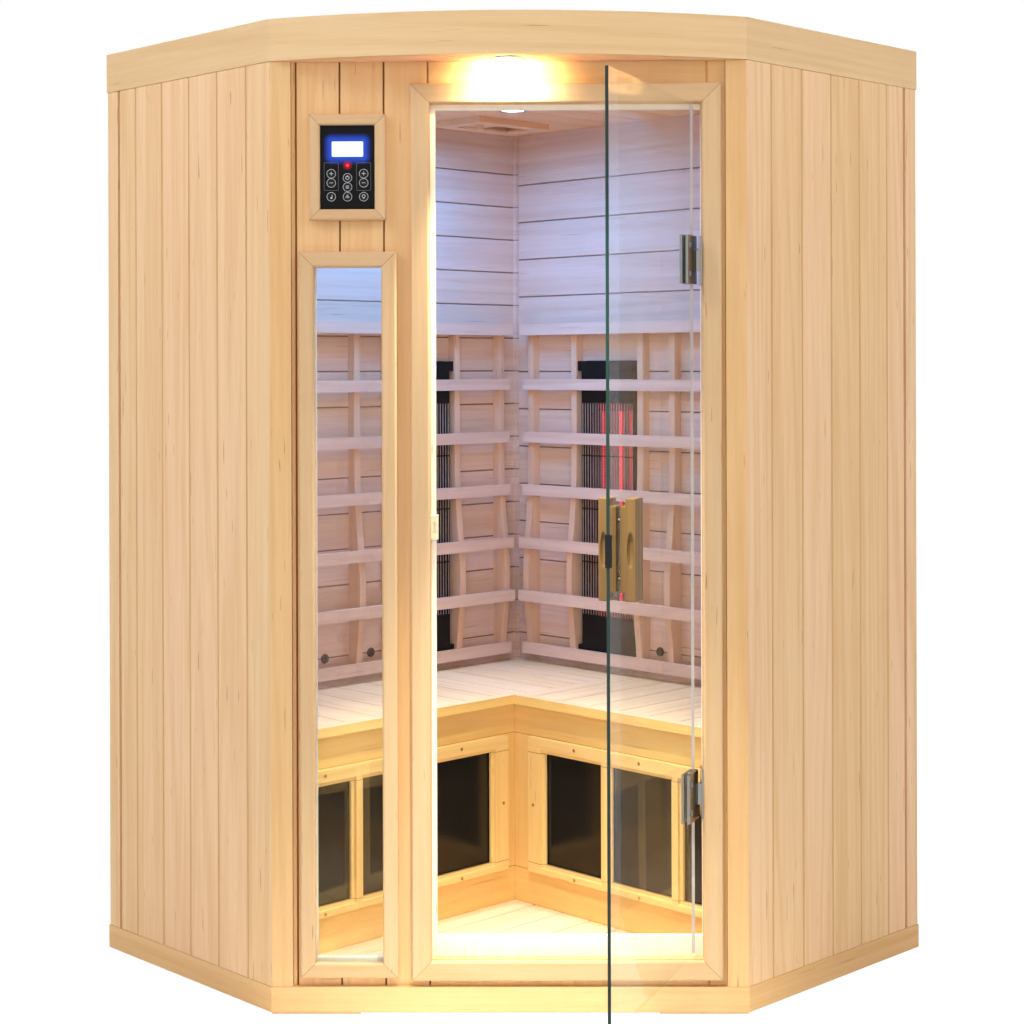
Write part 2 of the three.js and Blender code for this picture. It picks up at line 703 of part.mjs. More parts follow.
function heaterGrille(side) {
  const half = HEATER_WIDTH / 2 - HEATER_SHEET - FIT;
  const left = HEATER_CENTRE - half;
  const top = troughTop - FIT;
  const bottom = troughBottom + FIT;
  const front = heaterFront - FIT;
  const back = front - GRILLE_WIRE;
  const wirePitch = (2 * half - GRILLE_WIRE) / (GRILLE_WIRES - 1);
  const barPitch = (top - bottom - GRILLE_WIRE) / (GRILLE_BARS - 1);
  const gaps = [];
  for (let row = 0; row < GRILLE_BARS - 1; row += 1) {
    const z = bottom + row * barPitch + GRILLE_WIRE;
    for (let column = 0; column < GRILLE_WIRES - 1; column += 1) {
      const x = left + column * wirePitch + GRILLE_WIRE;
      gaps.push(box(x, x + wirePitch - GRILLE_WIRE, back - OVERCUT, front + OVERCUT,
        z, z + barPitch - GRILLE_WIRE));
    }
  }
  const sheet = box(left, left + 2 * half, back, front, bottom, top);
  return part(`${side}_heater_grille`, cut(sheet, ...gaps), blackSteel);
}

function quartzTubes(side) {
  const middle = (heaterBack + heaterFront) / 2;
  const half = TUBE_SPACING / 2;
  const blockHalf = half + TUBE_BLOCK / 2;
  const block = (z0, z1) => box(HEATER_CENTRE - blockHalf, HEATER_CENTRE + blockHalf,
    middle - TUBE_BLOCK / 2, middle + TUBE_BLOCK / 2, z0, z1);
  const tube = (x) => cylinder(TUBE_RADIUS, x, middle, troughBottom + FIT, troughTop - FIT, BOLT_SIDES);
  const tubes = join(
    block(troughBottom + FIT, troughBottom + FIT + TUBE_BLOCK),
    block(troughTop - FIT - TUBE_BLOCK, troughTop - FIT),
    tube(HEATER_CENTRE - half),
    tube(HEATER_CENTRE + half),
  );
  return part(`${side}_quartz_tubes`, tubes, quartz);
}

function wing(side, ownsCorner) {
  const group = new THREE.Group();
  group.position.set(0, REAR_Y, 0);
  group.rotation.z = -3 * Math.PI / 4;
  group.add(
    sidePanel(side),
    sideLining(side),
    backPanel(side),
    backLining(side, ownsCorner),
    benchSeat(side, ownsCorner),
    benchFront(side, ownsCorner),
    calfFrame(side),
    calfHeater(side),
    backrest(side),
    heaterHousing(side),
    heaterGrille(side),
    quartzTubes(side),
  );
  return group;
}

// Front wall
function frontPanel() {
  const left = point(-PANEL_HALF, PANEL_FACE);
  const right = point(PANEL_HALF, PANEL_FACE);
  const headerStart = DOOR_LEFT - SEAM_MARGIN.left + PANEL_HALF;
  const headerEnd = DOOR_RIGHT + SEAM_MARGIN.right + PANEL_HALF;
  const seamList = [...reversed(seams(headerStart, 0, FRONT_BOARD), headerStart), headerEnd];
  const outline = [
    ...boardedEdge(left, right, seamList),
    right,
    point(PANEL_HALF, PANEL_BACK),
    point(-PANEL_HALF, PANEL_BACK),
  ];
  const from = PANEL_FACE - OVERCUT;
  const to = PANEL_BACK + OVERCUT;
  return part('front_panel', cut(
    prism(outline, SHELL_BOTTOM, WALL_TOP),
    box(DOOR_LEFT, DOOR_RIGHT, from, to, DOOR_SILL, DOOR_HEAD),
    box(WINDOW_LEFT - WINDOW_REBATE, WINDOW_RIGHT + WINDOW_REBATE, from, to,
      WINDOW_SILL - WINDOW_REBATE, WINDOW_HEAD + WINDOW_REBATE),
  ), pine);
}

// Inside face of the front wall; its lip at the latch side, head and sill is the door's stop
function frontLining() {
  const from = LINING_FACE - OVERCUT;
  const to = FRONT_INSIDE + OVERCUT;
  return part('front_lining', cut(
    box(-PANEL_HALF, PANEL_HALF, LINING_FACE, FRONT_INSIDE, SHELL_BOTTOM, WALL_TOP),
    box(DOOR_LEFT + STOP_LIP, DOOR_RIGHT, from, to, DOOR_SILL + SILL_STOP, DOOR_HEAD - STOP_LIP),
    box(WINDOW_LEFT, WINDOW_RIGHT, from, to, WINDOW_SILL, WINDOW_HEAD),
  ), paleWood);
}

// Rectangular casing with chamfered edges, standing on the front panel
function casing(name, inner, margin, footMargin, depth) {
  const shrink = CASING_CHAMFER;
  const outer = rectangle(inner.x0 - margin, inner.x1 + margin, inner.z0 - footMargin, inner.z1 + margin);
  const shape = new THREE.Shape(outer);
  shape.holes.push(new THREE.Path(rectangle(inner.x0, inner.x1, inner.z0, inner.z1).reverse()));
  const body = new THREE.ExtrudeGeometry(shape, {
    depth: depth - 2 * shrink,
    bevelEnabled: true,
    bevelSegments: 1,
    bevelThickness: shrink,
    bevelSize: shrink,
    bevelOffset: -shrink,
  });
  body.rotateX(Math.PI / 2).translate(0, PANEL_FACE - FIT - shrink, 0);
  return part(name, body, pine);
}

const doorBox = { x0: DOOR_LEFT, x1: DOOR_RIGHT, z0: DOOR_SILL, z1: DOOR_HEAD };
const windowBox = { x0: WINDOW_LEFT, x1: WINDOW_RIGHT, z0: WINDOW_SILL, z1: WINDOW_HEAD };

const doorCasing = () => casing('door_casing', doorBox, DOOR_CASING, DOOR_CASING_FOOT, CASING_PROUD);

const windowCasing = () => casing('window_casing', windowBox, WINDOW_CASING, WINDOW_CASING, CASING_PROUD);

const faceplateBox = {
  x0: CONTROL_X - FACEPLATE_WIDTH / 2 - FIT,
  x1: CONTROL_X + FACEPLATE_WIDTH / 2 + FIT,
  z0: CONTROL_Z - FACEPLATE_HEIGHT / 2 - FIT,
  z1: CONTROL_Z + FACEPLATE_HEIGHT / 2 + FIT,
};

const controlCasing = () => (
  casing('control_casing', faceplateBox, CONTROL_CASING, CONTROL_CASING, CASING_PROUD)
);

// Fixed pane, held in the rebate between the casing and the lining
function windowGlass() {
  const inset = WINDOW_REBATE - FIT;
  const back = LINING_FACE - FIT;
  return part('window_glass', box(WINDOW_LEFT - inset, WINDOW_RIGHT + inset, back - WINDOW_GLASS, back,
    WINDOW_SILL - inset, WINDOW_HEAD + inset), clearGlass);
}

// Keypad: three columns of round keys under a display
const keyPlaces = {
  key_temperature_up: [-KEY_COLUMN, -KEY_TOP_DROP],
  key_temperature_down: [-KEY_COLUMN, -KEY_TOP_DROP - KEY_ROW],
  key_sound: [-KEY_COLUMN, -KEY_FOOT_DROP],
  key_power: [0, -KEY_CENTRE_DROP],
  key_preset: [0, -KEY_CENTRE_DROP - KEY_ROW],
  key_colour_light: [0, -KEY_FOOT_DROP],
  key_time_up: [KEY_COLUMN, -KEY_TOP_DROP],
  key_time_down: [KEY_COLUMN, -KEY_TOP_DROP - KEY_ROW],
  key_lamp: [KEY_COLUMN, -KEY_FOOT_DROP],
};
const faceplateFront = PANEL_FACE - FIT - FACEPLATE_THICKNESS;

function faceplate() {
  const plate = box(CONTROL_X - FACEPLATE_WIDTH / 2, CONTROL_X + FACEPLATE_WIDTH / 2, faceplateFront,
    faceplateFront + FACEPLATE_THICKNESS, CONTROL_Z - FACEPLATE_HEIGHT / 2, CONTROL_Z + FACEPLATE_HEIGHT / 2);
  const pocketDepth = KEY_THICKNESS - KEY_PROUD + KEY_TRAVEL + FIT;
  const pockets = Object.values(keyPlaces).map(([x, z]) => cylinderAlongY(KEY_RADIUS + FIT, CONTROL_X + x,
    CONTROL_Z + z, faceplateFront - OVERCUT, faceplateFront + pocketDepth, KEY_SIDES));
  const display = box(CONTROL_X - DISPLAY_WIDTH / 2, CONTROL_X + DISPLAY_WIDTH / 2, faceplateFront - OVERCUT,
    faceplateFront + DISPLAY_RECESS, CONTROL_Z + DISPLAY_RISE - DISPLAY_HEIGHT / 2,
    CONTROL_Z + DISPLAY_RISE + DISPLAY_HEIGHT / 2);
  return part('control_faceplate', cut(plate, display, ...pockets), blackPlastic);
}

function keys() {
  return Object.entries(keyPlaces).map(([name, [x, z]]) => {
    const front = faceplateFront - KEY_PROUD;
    const cap = cylinderAlongY(KEY_RADIUS, CONTROL_X + x, CONTROL_Z + z, front, front + KEY_THICKNESS,
      KEY_SIDES);
    return part(name, cap, keyPlastic);
  });
}

// Door, drawn shut round its hinge axis with the glass towards -x, then swung open
const hingeNotch = HINGE_HEIGHT / 2 + NOTCH_CLEARANCE;

function doorGlass() {
  const right = -GLASS_HINGE_GAP;
  const left = -GLASS_REACH;
  const bottom = DOOR_SILL + GLASS_SILL_GAP;
  const top = DOOR_HEAD - GLASS_HEAD_GAP;
  const notchX = -KNUCKLE_RADIUS - CLAMP_CORE - NOTCH_CLEARANCE;
  const notch = (z) => [
    point(right, z - hingeNotch),
    point(notchX, z - hingeNotch),
    point(notchX, z + hingeNotch),
    point(right, z + hingeNotch),
  ];
  const shape = new THREE.Shape([
    point(left, bottom),
    point(right, bottom),
    ...notch(HINGE_HEIGHTS.lower),
    ...notch(HINGE_HEIGHTS.upper),
    point(right, top),
    point(left, top),
  ]);
  for (const side of [-1, 1]) {
    const hole = new THREE.Path();
    hole.absarc(left + HANDLE_INSET, HANDLE_HEIGHT + side * BOLT_SPACING / 2, BOLT_RADIUS + BOLT_CLEARANCE,
      0, 2 * Math.PI, true);
    shape.holes.push(hole);
  }
  const settings = { depth: DOOR_GLASS, bevelEnabled: false, curveSegments: BOLT_SIDES / 2 };
  const pane = new THREE.ExtrudeGeometry(shape, settings)
    .rotateX(Math.PI / 2)
    .translate(0, DOOR_GLASS / 2, 0);
  return part('door_glass', pane, clearGlass);
}

// Clamp on the glass: two plates, a core in the glass notch and an ear above and below the knuckle
function hingeClamp(name, z) {
  const low = z - HINGE_HEIGHT / 2;
  const high = z + HINGE_HEIGHT / 2;
  const inner = DOOR_GLASS / 2 + FIT;
  const outer = inner + CLAMP_PLATE;
  const knuckleHalf = KNUCKLE_HEIGHT / 2 + RUNNING_GAP;
  const clear = KNUCKLE_RADIUS + RUNNING_GAP;
  const plateEnd = -KNUCKLE_RADIUS - CLAMP_SETBACK;
  const plates = join(
    box(-CLAMP_REACH, plateEnd, -outer, -inner, low, high),
    box(-CLAMP_REACH, plateEnd, inner, outer, low, high),
    box(-KNUCKLE_RADIUS - CLAMP_CORE, 0, -KNUCKLE_RADIUS, KNUCKLE_RADIUS, low, high),
    cylinder(KNUCKLE_RADIUS, 0, 0, low, high),
  );
  const room = box(-clear, clear, -outer - OVERCUT, outer + OVERCUT, z - knuckleHalf, z + knuckleHalf);
  const bore = cylinder(PIN_RADIUS + PIN_CLEARANCE, 0, 0, low - OVERCUT, high + OVERCUT);
  return part(name, cut(plates, room, bore), chrome);
}

// Leaf on the door jamb with the knuckle between the clamp's ears
function hingeLeaf(name, z) {
  const face = HINGE_AXIS_GAP - FIT;
  const plate = box(face - LEAF_THICKNESS, face, -HINGE_SETBACK, LEAF_DEPTH - HINGE_SETBACK,
    z - HINGE_HEIGHT / 2, z + HINGE_HEIGHT / 2);
  const half = KNUCKLE_HEIGHT / 2;
  const knuckle = join(
    plate,
    cylinder(KNUCKLE_RADIUS, 0, 0, z - half, z + half),
    box(0, face - LEAF_THICKNESS / 2, -KNUCKLE_RADIUS / 2, KNUCKLE_RADIUS, z - half, z + half),
  );
  const bore = cylinder(PIN_RADIUS + PIN_CLEARANCE, 0, 0, z - half - OVERCUT, z + half + OVERCUT);
  return part(name, cut(knuckle, bore), chrome);
}

function hingePin(name, z) {
  return part(name, cylinder(PIN_RADIUS, 0, 0, z - HINGE_HEIGHT / 2, z + HINGE_HEIGHT / 2), chrome);
}

// Wooden handle: a pad on the glass and a taller grip with a finger hollow along each edge
function handle(name, side) {
  const x = -GLASS_REACH + HANDLE_INSET;
  const face = DOOR_GLASS / 2 + FIT;
  const padOut = face + HANDLE_BASE_DEPTH;
  const gripOut = padOut + GRIP_DEPTH;
  const slab = (width, height, from, to) => box(x - width / 2, x + width / 2,
    Math.min(side * from, side * to), Math.max(side * from, side * to),
    HANDLE_HEIGHT - height / 2, HANDLE_HEIGHT + height / 2);
  const scoop = (edge) => new THREE.SphereGeometry(1, BOLT_SIDES, BOLT_SIDES / 2)
    .scale(GRIP_SCOOP_DEPTH, GRIP_DEPTH / 3, GRIP_SCOOP_LENGTH / 2)
    .translate(x + edge * GRIP_WIDTH / 2, side * (padOut + GRIP_DEPTH / 2), HANDLE_HEIGHT);
  const bolts = [-1, 1].map((end) => HANDLE_HEIGHT + end * BOLT_SPACING / 2);
  const body = cut(
    join(
      slab(HANDLE_BASE_WIDTH, HANDLE_BASE_HEIGHT, face, padOut),
      slab(GRIP_WIDTH, GRIP_HEIGHT, padOut - FIT, gripOut),
    ),
    scoop(-1),
    scoop(1),
  );
  if (side > 0) {
    const socketEnd = face + BOLT_ENGAGEMENT + FIT;
    const sockets = bolts.map((z) => cylinderAlongY(BOLT_RADIUS + FIT, x, z, 0, socketEnd, BOLT_SIDES));
    return part(name, cut(body, ...sockets), gripWood);
  }
  const studEnd = face + BOLT_ENGAGEMENT;
  const studs = bolts.map((z) => cylinderAlongY(BOLT_RADIUS, x, z, -padOut, studEnd, BOLT_SIDES));
  return part(name, join(body, ...studs), gripWood);
}

// Steel clip over the free edge of the glass, which the catch on the jamb holds
function strikePlate() {
  const inner = DOOR_GLASS / 2 + FIT;
  const edge = -GLASS_REACH - FIT;
  const outline = [
    point(edge + STRIKE_WIDTH, -inner - STRIKE_SHEET),
    point(edge + STRIKE_WIDTH, -inner),
    point(edge, -inner),
    point(edge, inner),
    point(edge + STRIKE_WIDTH, inner),
    point(edge + STRIKE_WIDTH, inner + STRIKE_SHEET),
    point(edge - STRIKE_SHEET, inner + STRIKE_SHEET),
    point(edge - STRIKE_SHEET, -inner - STRIKE_SHEET),
  ];
  const clip = prism(outline, LATCH_HEIGHT - STRIKE_LENGTH / 2, LATCH_HEIGHT + STRIKE_LENGTH / 2);
  return part('strike_plate', clip, blackSteel);
}

// Magnetic catch on the latch jamb, just behind the shut glass
function magnetCatch() {
  const front = AXIS_Y + DOOR_GLASS / 2 + FIT + STRIKE_SHEET + CATCH_GAP;
  const back = LINING_FACE - FIT;
  const left = DOOR_LEFT + FIT;
  const body = box(left, left + CATCH_REACH, front, back, LATCH_HEIGHT - CATCH_HEIGHT / 2,
    LATCH_HEIGHT + CATCH_HEIGHT / 2);
  const middle = left + CATCH_REACH / 2;
  const slot = box(middle - CATCH_SLOT / 2, middle + CATCH_SLOT / 2, front - OVERCUT, front + CATCH_SLOT,
    LATCH_HEIGHT - CATCH_SLOT_HEIGHT / 2, LATCH_HEIGHT + CATCH_SLOT_HEIGHT / 2);
  return part('magnet_catch', cut(body, slot), creamPlastic);
}

function door() {
  const group = new THREE.Group();
  group.position.set(AXIS_X, AXIS_Y, 0);
  group.rotation.z = DOOR_ANGLE;
  group.add(doorGlass(), handle('door_handle_outer', -1), handle('door_handle_inner', 1), strikePlate());
  for (const [level, z] of Object.entries(HINGE_HEIGHTS)) group.add(hingeClamp(`${level}_hinge_clamp`, z));
  return group;
}

function hingeFixtures() {
  const group = new THREE.Group();
  group.position.set(AXIS_X, AXIS_Y, 0);
  for (const [level, z] of Object.entries(HINGE_HEIGHTS)) {
    group.add(hingeLeaf(`${level}_hinge_leaf`, z), hingePin(`${level}_hinge_pin`, z));
  }
  return group;
}

function front() {
  const group = new THREE.Group();
  group.add(frontPanel(), frontLining(), doorCasing(), windowCasing(), windowGlass());
  group.add(controlCasing(), faceplate(), ...keys(), magnetCatch(), hingeFixtures(), door());
  return group;
}

// Roof: fascia and dust cover in one cap, over a ceiling that runs out to the front as a soffit
const coverTop = ROOF_TOP - COVER_DROP;
const coverBottom = coverTop - COVER;
const ceilingTop = ROOF_BOTTOM + CEILING;
const spotY = FRONT_Y - SPOT_SETBACK;
const glandX = POWER_X + POWER_LENGTH / 2 - GLAND_INSET;

function roofCap() {
  const inside = FASCIA - SKIRT_PROUD;
  return part('roof_cap', cut(
    prism(roofOutline(-SKIRT_PROUD), ROOF_BOTTOM, ROOF_TOP),
    prism(roofOutline(inside), ROOF_BOTTOM - OVERCUT, coverBottom),
    prism(roofOutline(inside), coverTop, ROOF_TOP + OVERCUT),
    cylinder(GLAND_RADIUS + GLAND_CLEARANCE, glandX, POWER_Y, coverBottom - OVERCUT, coverTop + OVERCUT),
  ), pine);
}

function ceilingPanel() {
  const spotHole = SPOT_RADIUS - SPOT_FLANGE_WIDTH + FIT;
  const under = ROOF_BOTTOM - OVERCUT;
  const over = ceilingTop + OVERCUT;
  const grooves = flatGrooves(BACK_LENGTH, CEILING_BOARD, ROOF_BOTTOM, -1)
    .map((tool) => turned(tool, Math.PI / 4));
  const hole = VENT_HOLE / 2;
  const holeX = -VENT_TRAVEL / 2;
  const vent = turned(box(holeX - hole, holeX + hole, -hole, hole, under, over), Math.PI / 4)
    .translate(VENT_X, VENT_Y, 0);
  return part('ceiling_panel', cut(
    prism(roofOutline(FASCIA - SKIRT_PROUD + FIT), ROOF_BOTTOM, ceilingTop),
    ...grooves,
    cylinder(spotHole, 0, spotY, under, over),
    cylinder(spotHole, 0, CEILING_SPOT_Y, under, over),
    vent,
  ), paleWood);
}

// Recessed lamp: a can through the ceiling, a flange below it and a dished lens
function spotLight(name, y) {
  const can = SPOT_RADIUS - SPOT_FLANGE_WIDTH;
  const top = ROOF_BOTTOM + SPOT_DEPTH;
  const flangeTop = ROOF_BOTTOM - FIT;
  const flangeBottom = flangeTop - SPOT_FLANGE;
  const profile = [
    point(0, flangeBottom + SPOT_DISH),
    point(can, flangeBottom + SPOT_DISH),
    point(can + SPOT_DISH / 2, flangeBottom),
    point(SPOT_RADIUS - SPOT_DISH / 2, flangeBottom),
    point(SPOT_RADIUS, flangeBottom + SPOT_DISH / 2),
    point(SPOT_RADIUS, flangeTop),
    point(can, flangeTop),
    point(can, top),
    point(0, top),
  ];
  const lamp = new THREE.LatheGeometry(profile, CIRCLE_SIDES).rotateX(Math.PI / 2).translate(0, y, 0);
  return part(name, toSolid(lamp), lampMetal);
}

// Ceiling vent: a frame under the ceiling hole and a shutter that slides on the frame's lips
const ventInner = VENT_HOLE + 2 * VENT_SLIDE_LAP;

function ventFrame() {
  const top = ROOF_BOTTOM - FIT;
  const bottom = top - VENT_FRAME;
  const halfLength = VENT_LENGTH / 2;
  const halfWidth = VENT_WIDTH / 2;
  const track = ventInner / 2 + FIT;
  const run = track + VENT_TRAVEL / 2;
  const frame = cut(
    box(-halfLength, halfLength, -halfWidth, halfWidth, bottom, top),
    box(-run, run, -track, track, bottom + VENT_LIP_HEIGHT, top + OVERCUT),
    box(VENT_LIP - run, run - VENT_LIP, VENT_LIP - track, track - VENT_LIP, bottom - OVERCUT, top),
  );
  return part('vent_frame', frame, paleWood);
}

function ventSlide() {
  const floor = ROOF_BOTTOM - VENT_FRAME + VENT_LIP_HEIGHT;
  const half = ventInner / 2;
  const shutter = join(
    box(-half, half, -half, half, floor, floor + VENT_SLIDE),
    cylinder(VENT_KNOB_RADIUS, 0, 0, floor - VENT_KNOB_HEIGHT, floor + VENT_SLIDE / 2, KEY_SIDES),
  );
  return part('vent_slide', shutter.translate([-VENT_TRAVEL / 2, 0, 0]), paleWood);
}

function vent() {
  const group = new THREE.Group();
  group.position.set(VENT_X, VENT_Y, 0);
  group.rotation.z = Math.PI / 4;
  group.add(ventFrame(), ventSlide());
  return group;
}

// Power unit on the ceiling, with its cable gland up through the cover
function powerUnit() {
  const floor = ceilingTop + FIT;
  const unit = join(
    box(POWER_X - POWER_LENGTH / 2, POWER_X + POWER_LENGTH / 2,
      POWER_Y - POWER_WIDTH / 2, POWER_Y + POWER_WIDTH / 2,
      floor, floor + POWER_HEIGHT),
    cylinder(GLAND_RADIUS, glandX, POWER_Y, floor + POWER_HEIGHT - OVERCUT, coverTop + GLAND_RISE),
  );
  return part('power_unit', unit, blackPlastic);
}

function roof() {
  const group = new THREE.Group();
  group.add(roofCap(), ceilingPanel());
  group.add(spotLight('exterior_light', spotY), spotLight('ceiling_light', CEILING_SPOT_Y));
  group.add(vent(), powerUnit());
  return group;
}

const cabin = new THREE.Group();
const mirrored = new THREE.Group();
mirrored.scale.x = -1;
mirrored.add(wing('right', false));
cabin.add(baseTray(), floorPanel(), wing('left', true), mirrored, front(), roof());

export default cabin;
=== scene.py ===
"""Looks for the corner infrared sauna cabin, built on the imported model, in metres."""

import math
from typing import NamedTuple

import bmesh
import bpy
from mathutils import Matrix, Vector


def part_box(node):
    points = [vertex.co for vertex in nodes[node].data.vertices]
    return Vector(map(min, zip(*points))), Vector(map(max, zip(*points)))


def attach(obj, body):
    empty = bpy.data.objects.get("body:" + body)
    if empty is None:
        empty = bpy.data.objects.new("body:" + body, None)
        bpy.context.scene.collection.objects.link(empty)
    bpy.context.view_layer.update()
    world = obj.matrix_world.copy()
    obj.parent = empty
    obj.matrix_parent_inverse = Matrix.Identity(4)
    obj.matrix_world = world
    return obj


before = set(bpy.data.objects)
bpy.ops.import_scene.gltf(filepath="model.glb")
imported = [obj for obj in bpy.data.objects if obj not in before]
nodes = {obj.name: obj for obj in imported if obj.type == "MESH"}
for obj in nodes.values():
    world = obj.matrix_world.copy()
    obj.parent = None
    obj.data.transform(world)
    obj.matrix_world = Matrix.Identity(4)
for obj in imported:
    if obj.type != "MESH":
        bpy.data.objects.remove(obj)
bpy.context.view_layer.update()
scene = bpy.context.scene

LEFT, RIGHT = "left", "right"
SIDES = (LEFT, RIGHT)
X, Y, Z = 0, 1, 2
KEYS = [name for name in nodes if name.startswith("key_")]

# Plan of the cabin
BACK = 1.212
SIDE = 0.568
WALL = 0.0456
WALL_TOP = 1.819
DIAGONAL = math.sqrt(0.5)
REAR_Y = (BACK + SIDE) * DIAGONAL / 2
FRONT_Y = -REAR_Y
BEYOND = 9.0

# Boards, posts and rails of the solids
SIDE_BOARD = 0.0966
FRONT_BOARD = 0.0843
SEAT_BOARD = 0.085
CEILING_BOARD = 0.090
LINING_BOARDS = {LEFT: (0.097, 0.083), RIGHT: (0.124, 0.0946)}
POST = 0.076
REAR_TRIM = 0.06
SEAT_EDGE = 0.4416
NOSING = 0.022
FIRST_SLAT = 0.530
SLAT_PITCH = 0.132
SLAT_HEIGHT = 0.027
BACKREST_RAIL = 1.313
CALF_TOP_RAIL = 0.034
CALF_FOOT_RAIL = 0.022

# Doorway and door
DOOR_CASING = 0.037
DOOR_REVEAL = 0.0035
door_low, door_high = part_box("door_casing")
DOOR_LEFT = door_low.x + DOOR_CASING
DOOR_RIGHT = door_high.x - DOOR_CASING
DOOR_HEAD = door_high.z - DOOR_CASING
FRONT_SEAM = DOOR_LEFT - DOOR_REVEAL
DOOR_ANGLE = math.radians(68.8)
DOOR_TURN = Matrix.Rotation(DOOR_ANGLE, 3, "Z")
HINGE_INSET = 0.018
HINGE_DEPTH = 0.008
HINGE_AXIS = Vector((DOOR_RIGHT - HINGE_INSET, FRONT_Y + HINGE_DEPTH, 0))


# Directions and places in a wing, which is a back wall with its side
def wing_turn(side):
    """Turn about Z that lays a wing's back wall along X."""
    return math.radians(135 if side == LEFT else 45)


def wing_corner(side):
    """Rear corner's place after the wing's turn, to count boards from."""
    return Matrix.Rotation(wing_turn(side), 3, "Z") @ Vector((0, REAR_Y, 0))


def wing_along(side):
    """Direction along a wing's back wall, away from the rear corner."""
    return Vector((-DIAGONAL if side == LEFT else DIAGONAL, -DIAGONAL, 0))


def wing_inward(side):
    """Direction from a wing's back wall into the room."""
    return Vector((DIAGONAL if side == LEFT else -DIAGONAL, -DIAGONAL, 0))


def wing_point(side, along, inward, height):
    """Point at a distance along a back wall, inwards from its outer face, and at a height."""
    x = (-along + inward) * DIAGONAL
    y = REAR_Y + (-along - inward) * DIAGONAL
    return Vector((x if side == LEFT else -x, y, height))


def colour(red, green, blue):
    """Linear colour with alpha from 0-255 display values."""
    def linear(value):
        value /= 255
        return value / 12.92 if value <= 0.04045 else ((value + 0.055) / 1.055) ** 2.4
    return (linear(red), linear(green), linear(blue), 1.0)


def scaled(tint, share, lift=0.0):
    """A colour times a share, up to white."""
    return tuple(min(1.0, share * part + lift) for part in tint[:3]) + (1.0,)


class Graph:
    """A node tree under construction, with one call per node."""

    def __init__(self, tree):
        self.tree = tree

    def feed(self, socket, value):
        if isinstance(value, bpy.types.NodeSocket):
            self.tree.links.new(value, socket)
        else:
            socket.default_value = value

    def add(self, kind, inputs=None, **settings):
        node = self.tree.nodes.new("ShaderNode" + kind)
        for name, value in settings.items():
            setattr(node, name, value)
        for name, value in (inputs or {}).items():
            self.feed(node.inputs[name], value)
        return node

    def math(self, operation, a, b=0.0, clamp=False):
        node = self.add("Math", {0: a, 1: b}, operation=operation, use_clamp=clamp)
        return node.outputs[0]

    def plus(self, a, b):
        return self.math("ADD", a, b)

    def minus(self, a, b):
        return self.math("SUBTRACT", a, b)

    def times(self, a, b):
        return self.math("MULTIPLY", a, b)

    def larger(self, a, b):
        return self.math("MAXIMUM", a, b)

    def above(self, a, b):
        return self.math("GREATER_THAN", a, b)

    def apart(self, a, b):
        """Distance between two values."""
        return self.math("ABSOLUTE", self.minus(a, b))

    def length(self, a, b):
        """Length of the diagonal with these two sides."""
        return self.math("SQRT", self.plus(self.math("POWER", a, 2.0), self.math("POWER", b, 2.0)))

    def vector(self, operation, a, b):
        return self.add("VectorMath", {0: a, 1: b}, operation=operation).outputs["Vector"]

    def mix(self, factor, a, b, blend="MIX"):
        node = self.add("Mix", data_type="RGBA", blend_type=blend)
        for index, value in ((0, factor), (6, a), (7, b)):
            self.feed(node.inputs[index], value)
        return node.outputs[2]

    def mix_vector(self, factor, a, b):
        node = self.add("Mix", data_type="VECTOR")
        for index, value in ((0, factor), (4, a), (5, b)):
            self.feed(node.inputs[index], value)
        return node.outputs[1]

    def spread(self, value, span, onto=(0.0, 1.0), smooth=False):
        """A value's place in one span, carried over to another."""
        kind = "SMOOTHSTEP" if smooth else "LINEAR"
        inputs = {"Value": value, "From Min": span[0], "From Max": span[1],
                  "To Min": onto[0], "To Max": onto[1]}
        return self.add("MapRange", inputs, interpolation_type=kind).outputs["Result"]

    def noise(self, vector, scale, detail=4.0, roughness=0.55, distortion=0.0):
        inputs = {"Vector": vector, "Scale": scale, "Detail": detail, "Roughness": roughness,
                  "Distortion": distortion}
        return self.add("TexNoise", inputs).outputs["Fac"]

    def place(self, turn=0.0):
        """Place on the object, turned about Z."""
        place = self.add("TexCoord").outputs["Object"]
        if not turn:
            return place
        return self.add("VectorRotate", {"Vector": place, "Angle": turn}, rotation_type="Z_AXIS").outputs[0]

    def axes(self, vector):
        return self.add("SeparateXYZ", {0: vector}).outputs

    def bump(self, height, strength, distance):
        inputs = {"Height": height, "Strength": strength, "Distance": distance}
        return self.add("Bump", inputs).outputs["Normal"]

    def in_view(self):
        """1 for what is seen straight, in a reflection or through glass."""
        path = self.add("LightPath").outputs
        seen = self.larger(path["Is Camera Ray"], path["Is Glossy Ray"])
        return self.larger(seen, path["Is Transmission Ray"])


class Material(Graph):
    """A material under construction."""

    def __init__(self, name):
        self.material = bpy.data.materials.new(name)
        self.material.use_nodes = True
        super().__init__(self.material.node_tree)
        self.tree.nodes.clear()
        self.output = self.tree.nodes.new("ShaderNodeOutputMaterial")

    def shader(self, **inputs):
        return self.add("BsdfPrincipled", {name.replace("_", " "): value for name, value in inputs.items()})

    def close(self, shader):
        self.tree.links.new(shader.outputs[0], self.output.inputs[0])
        return self.material

    def surface(self, **inputs):
        return self.close(self.shader(**inputs))


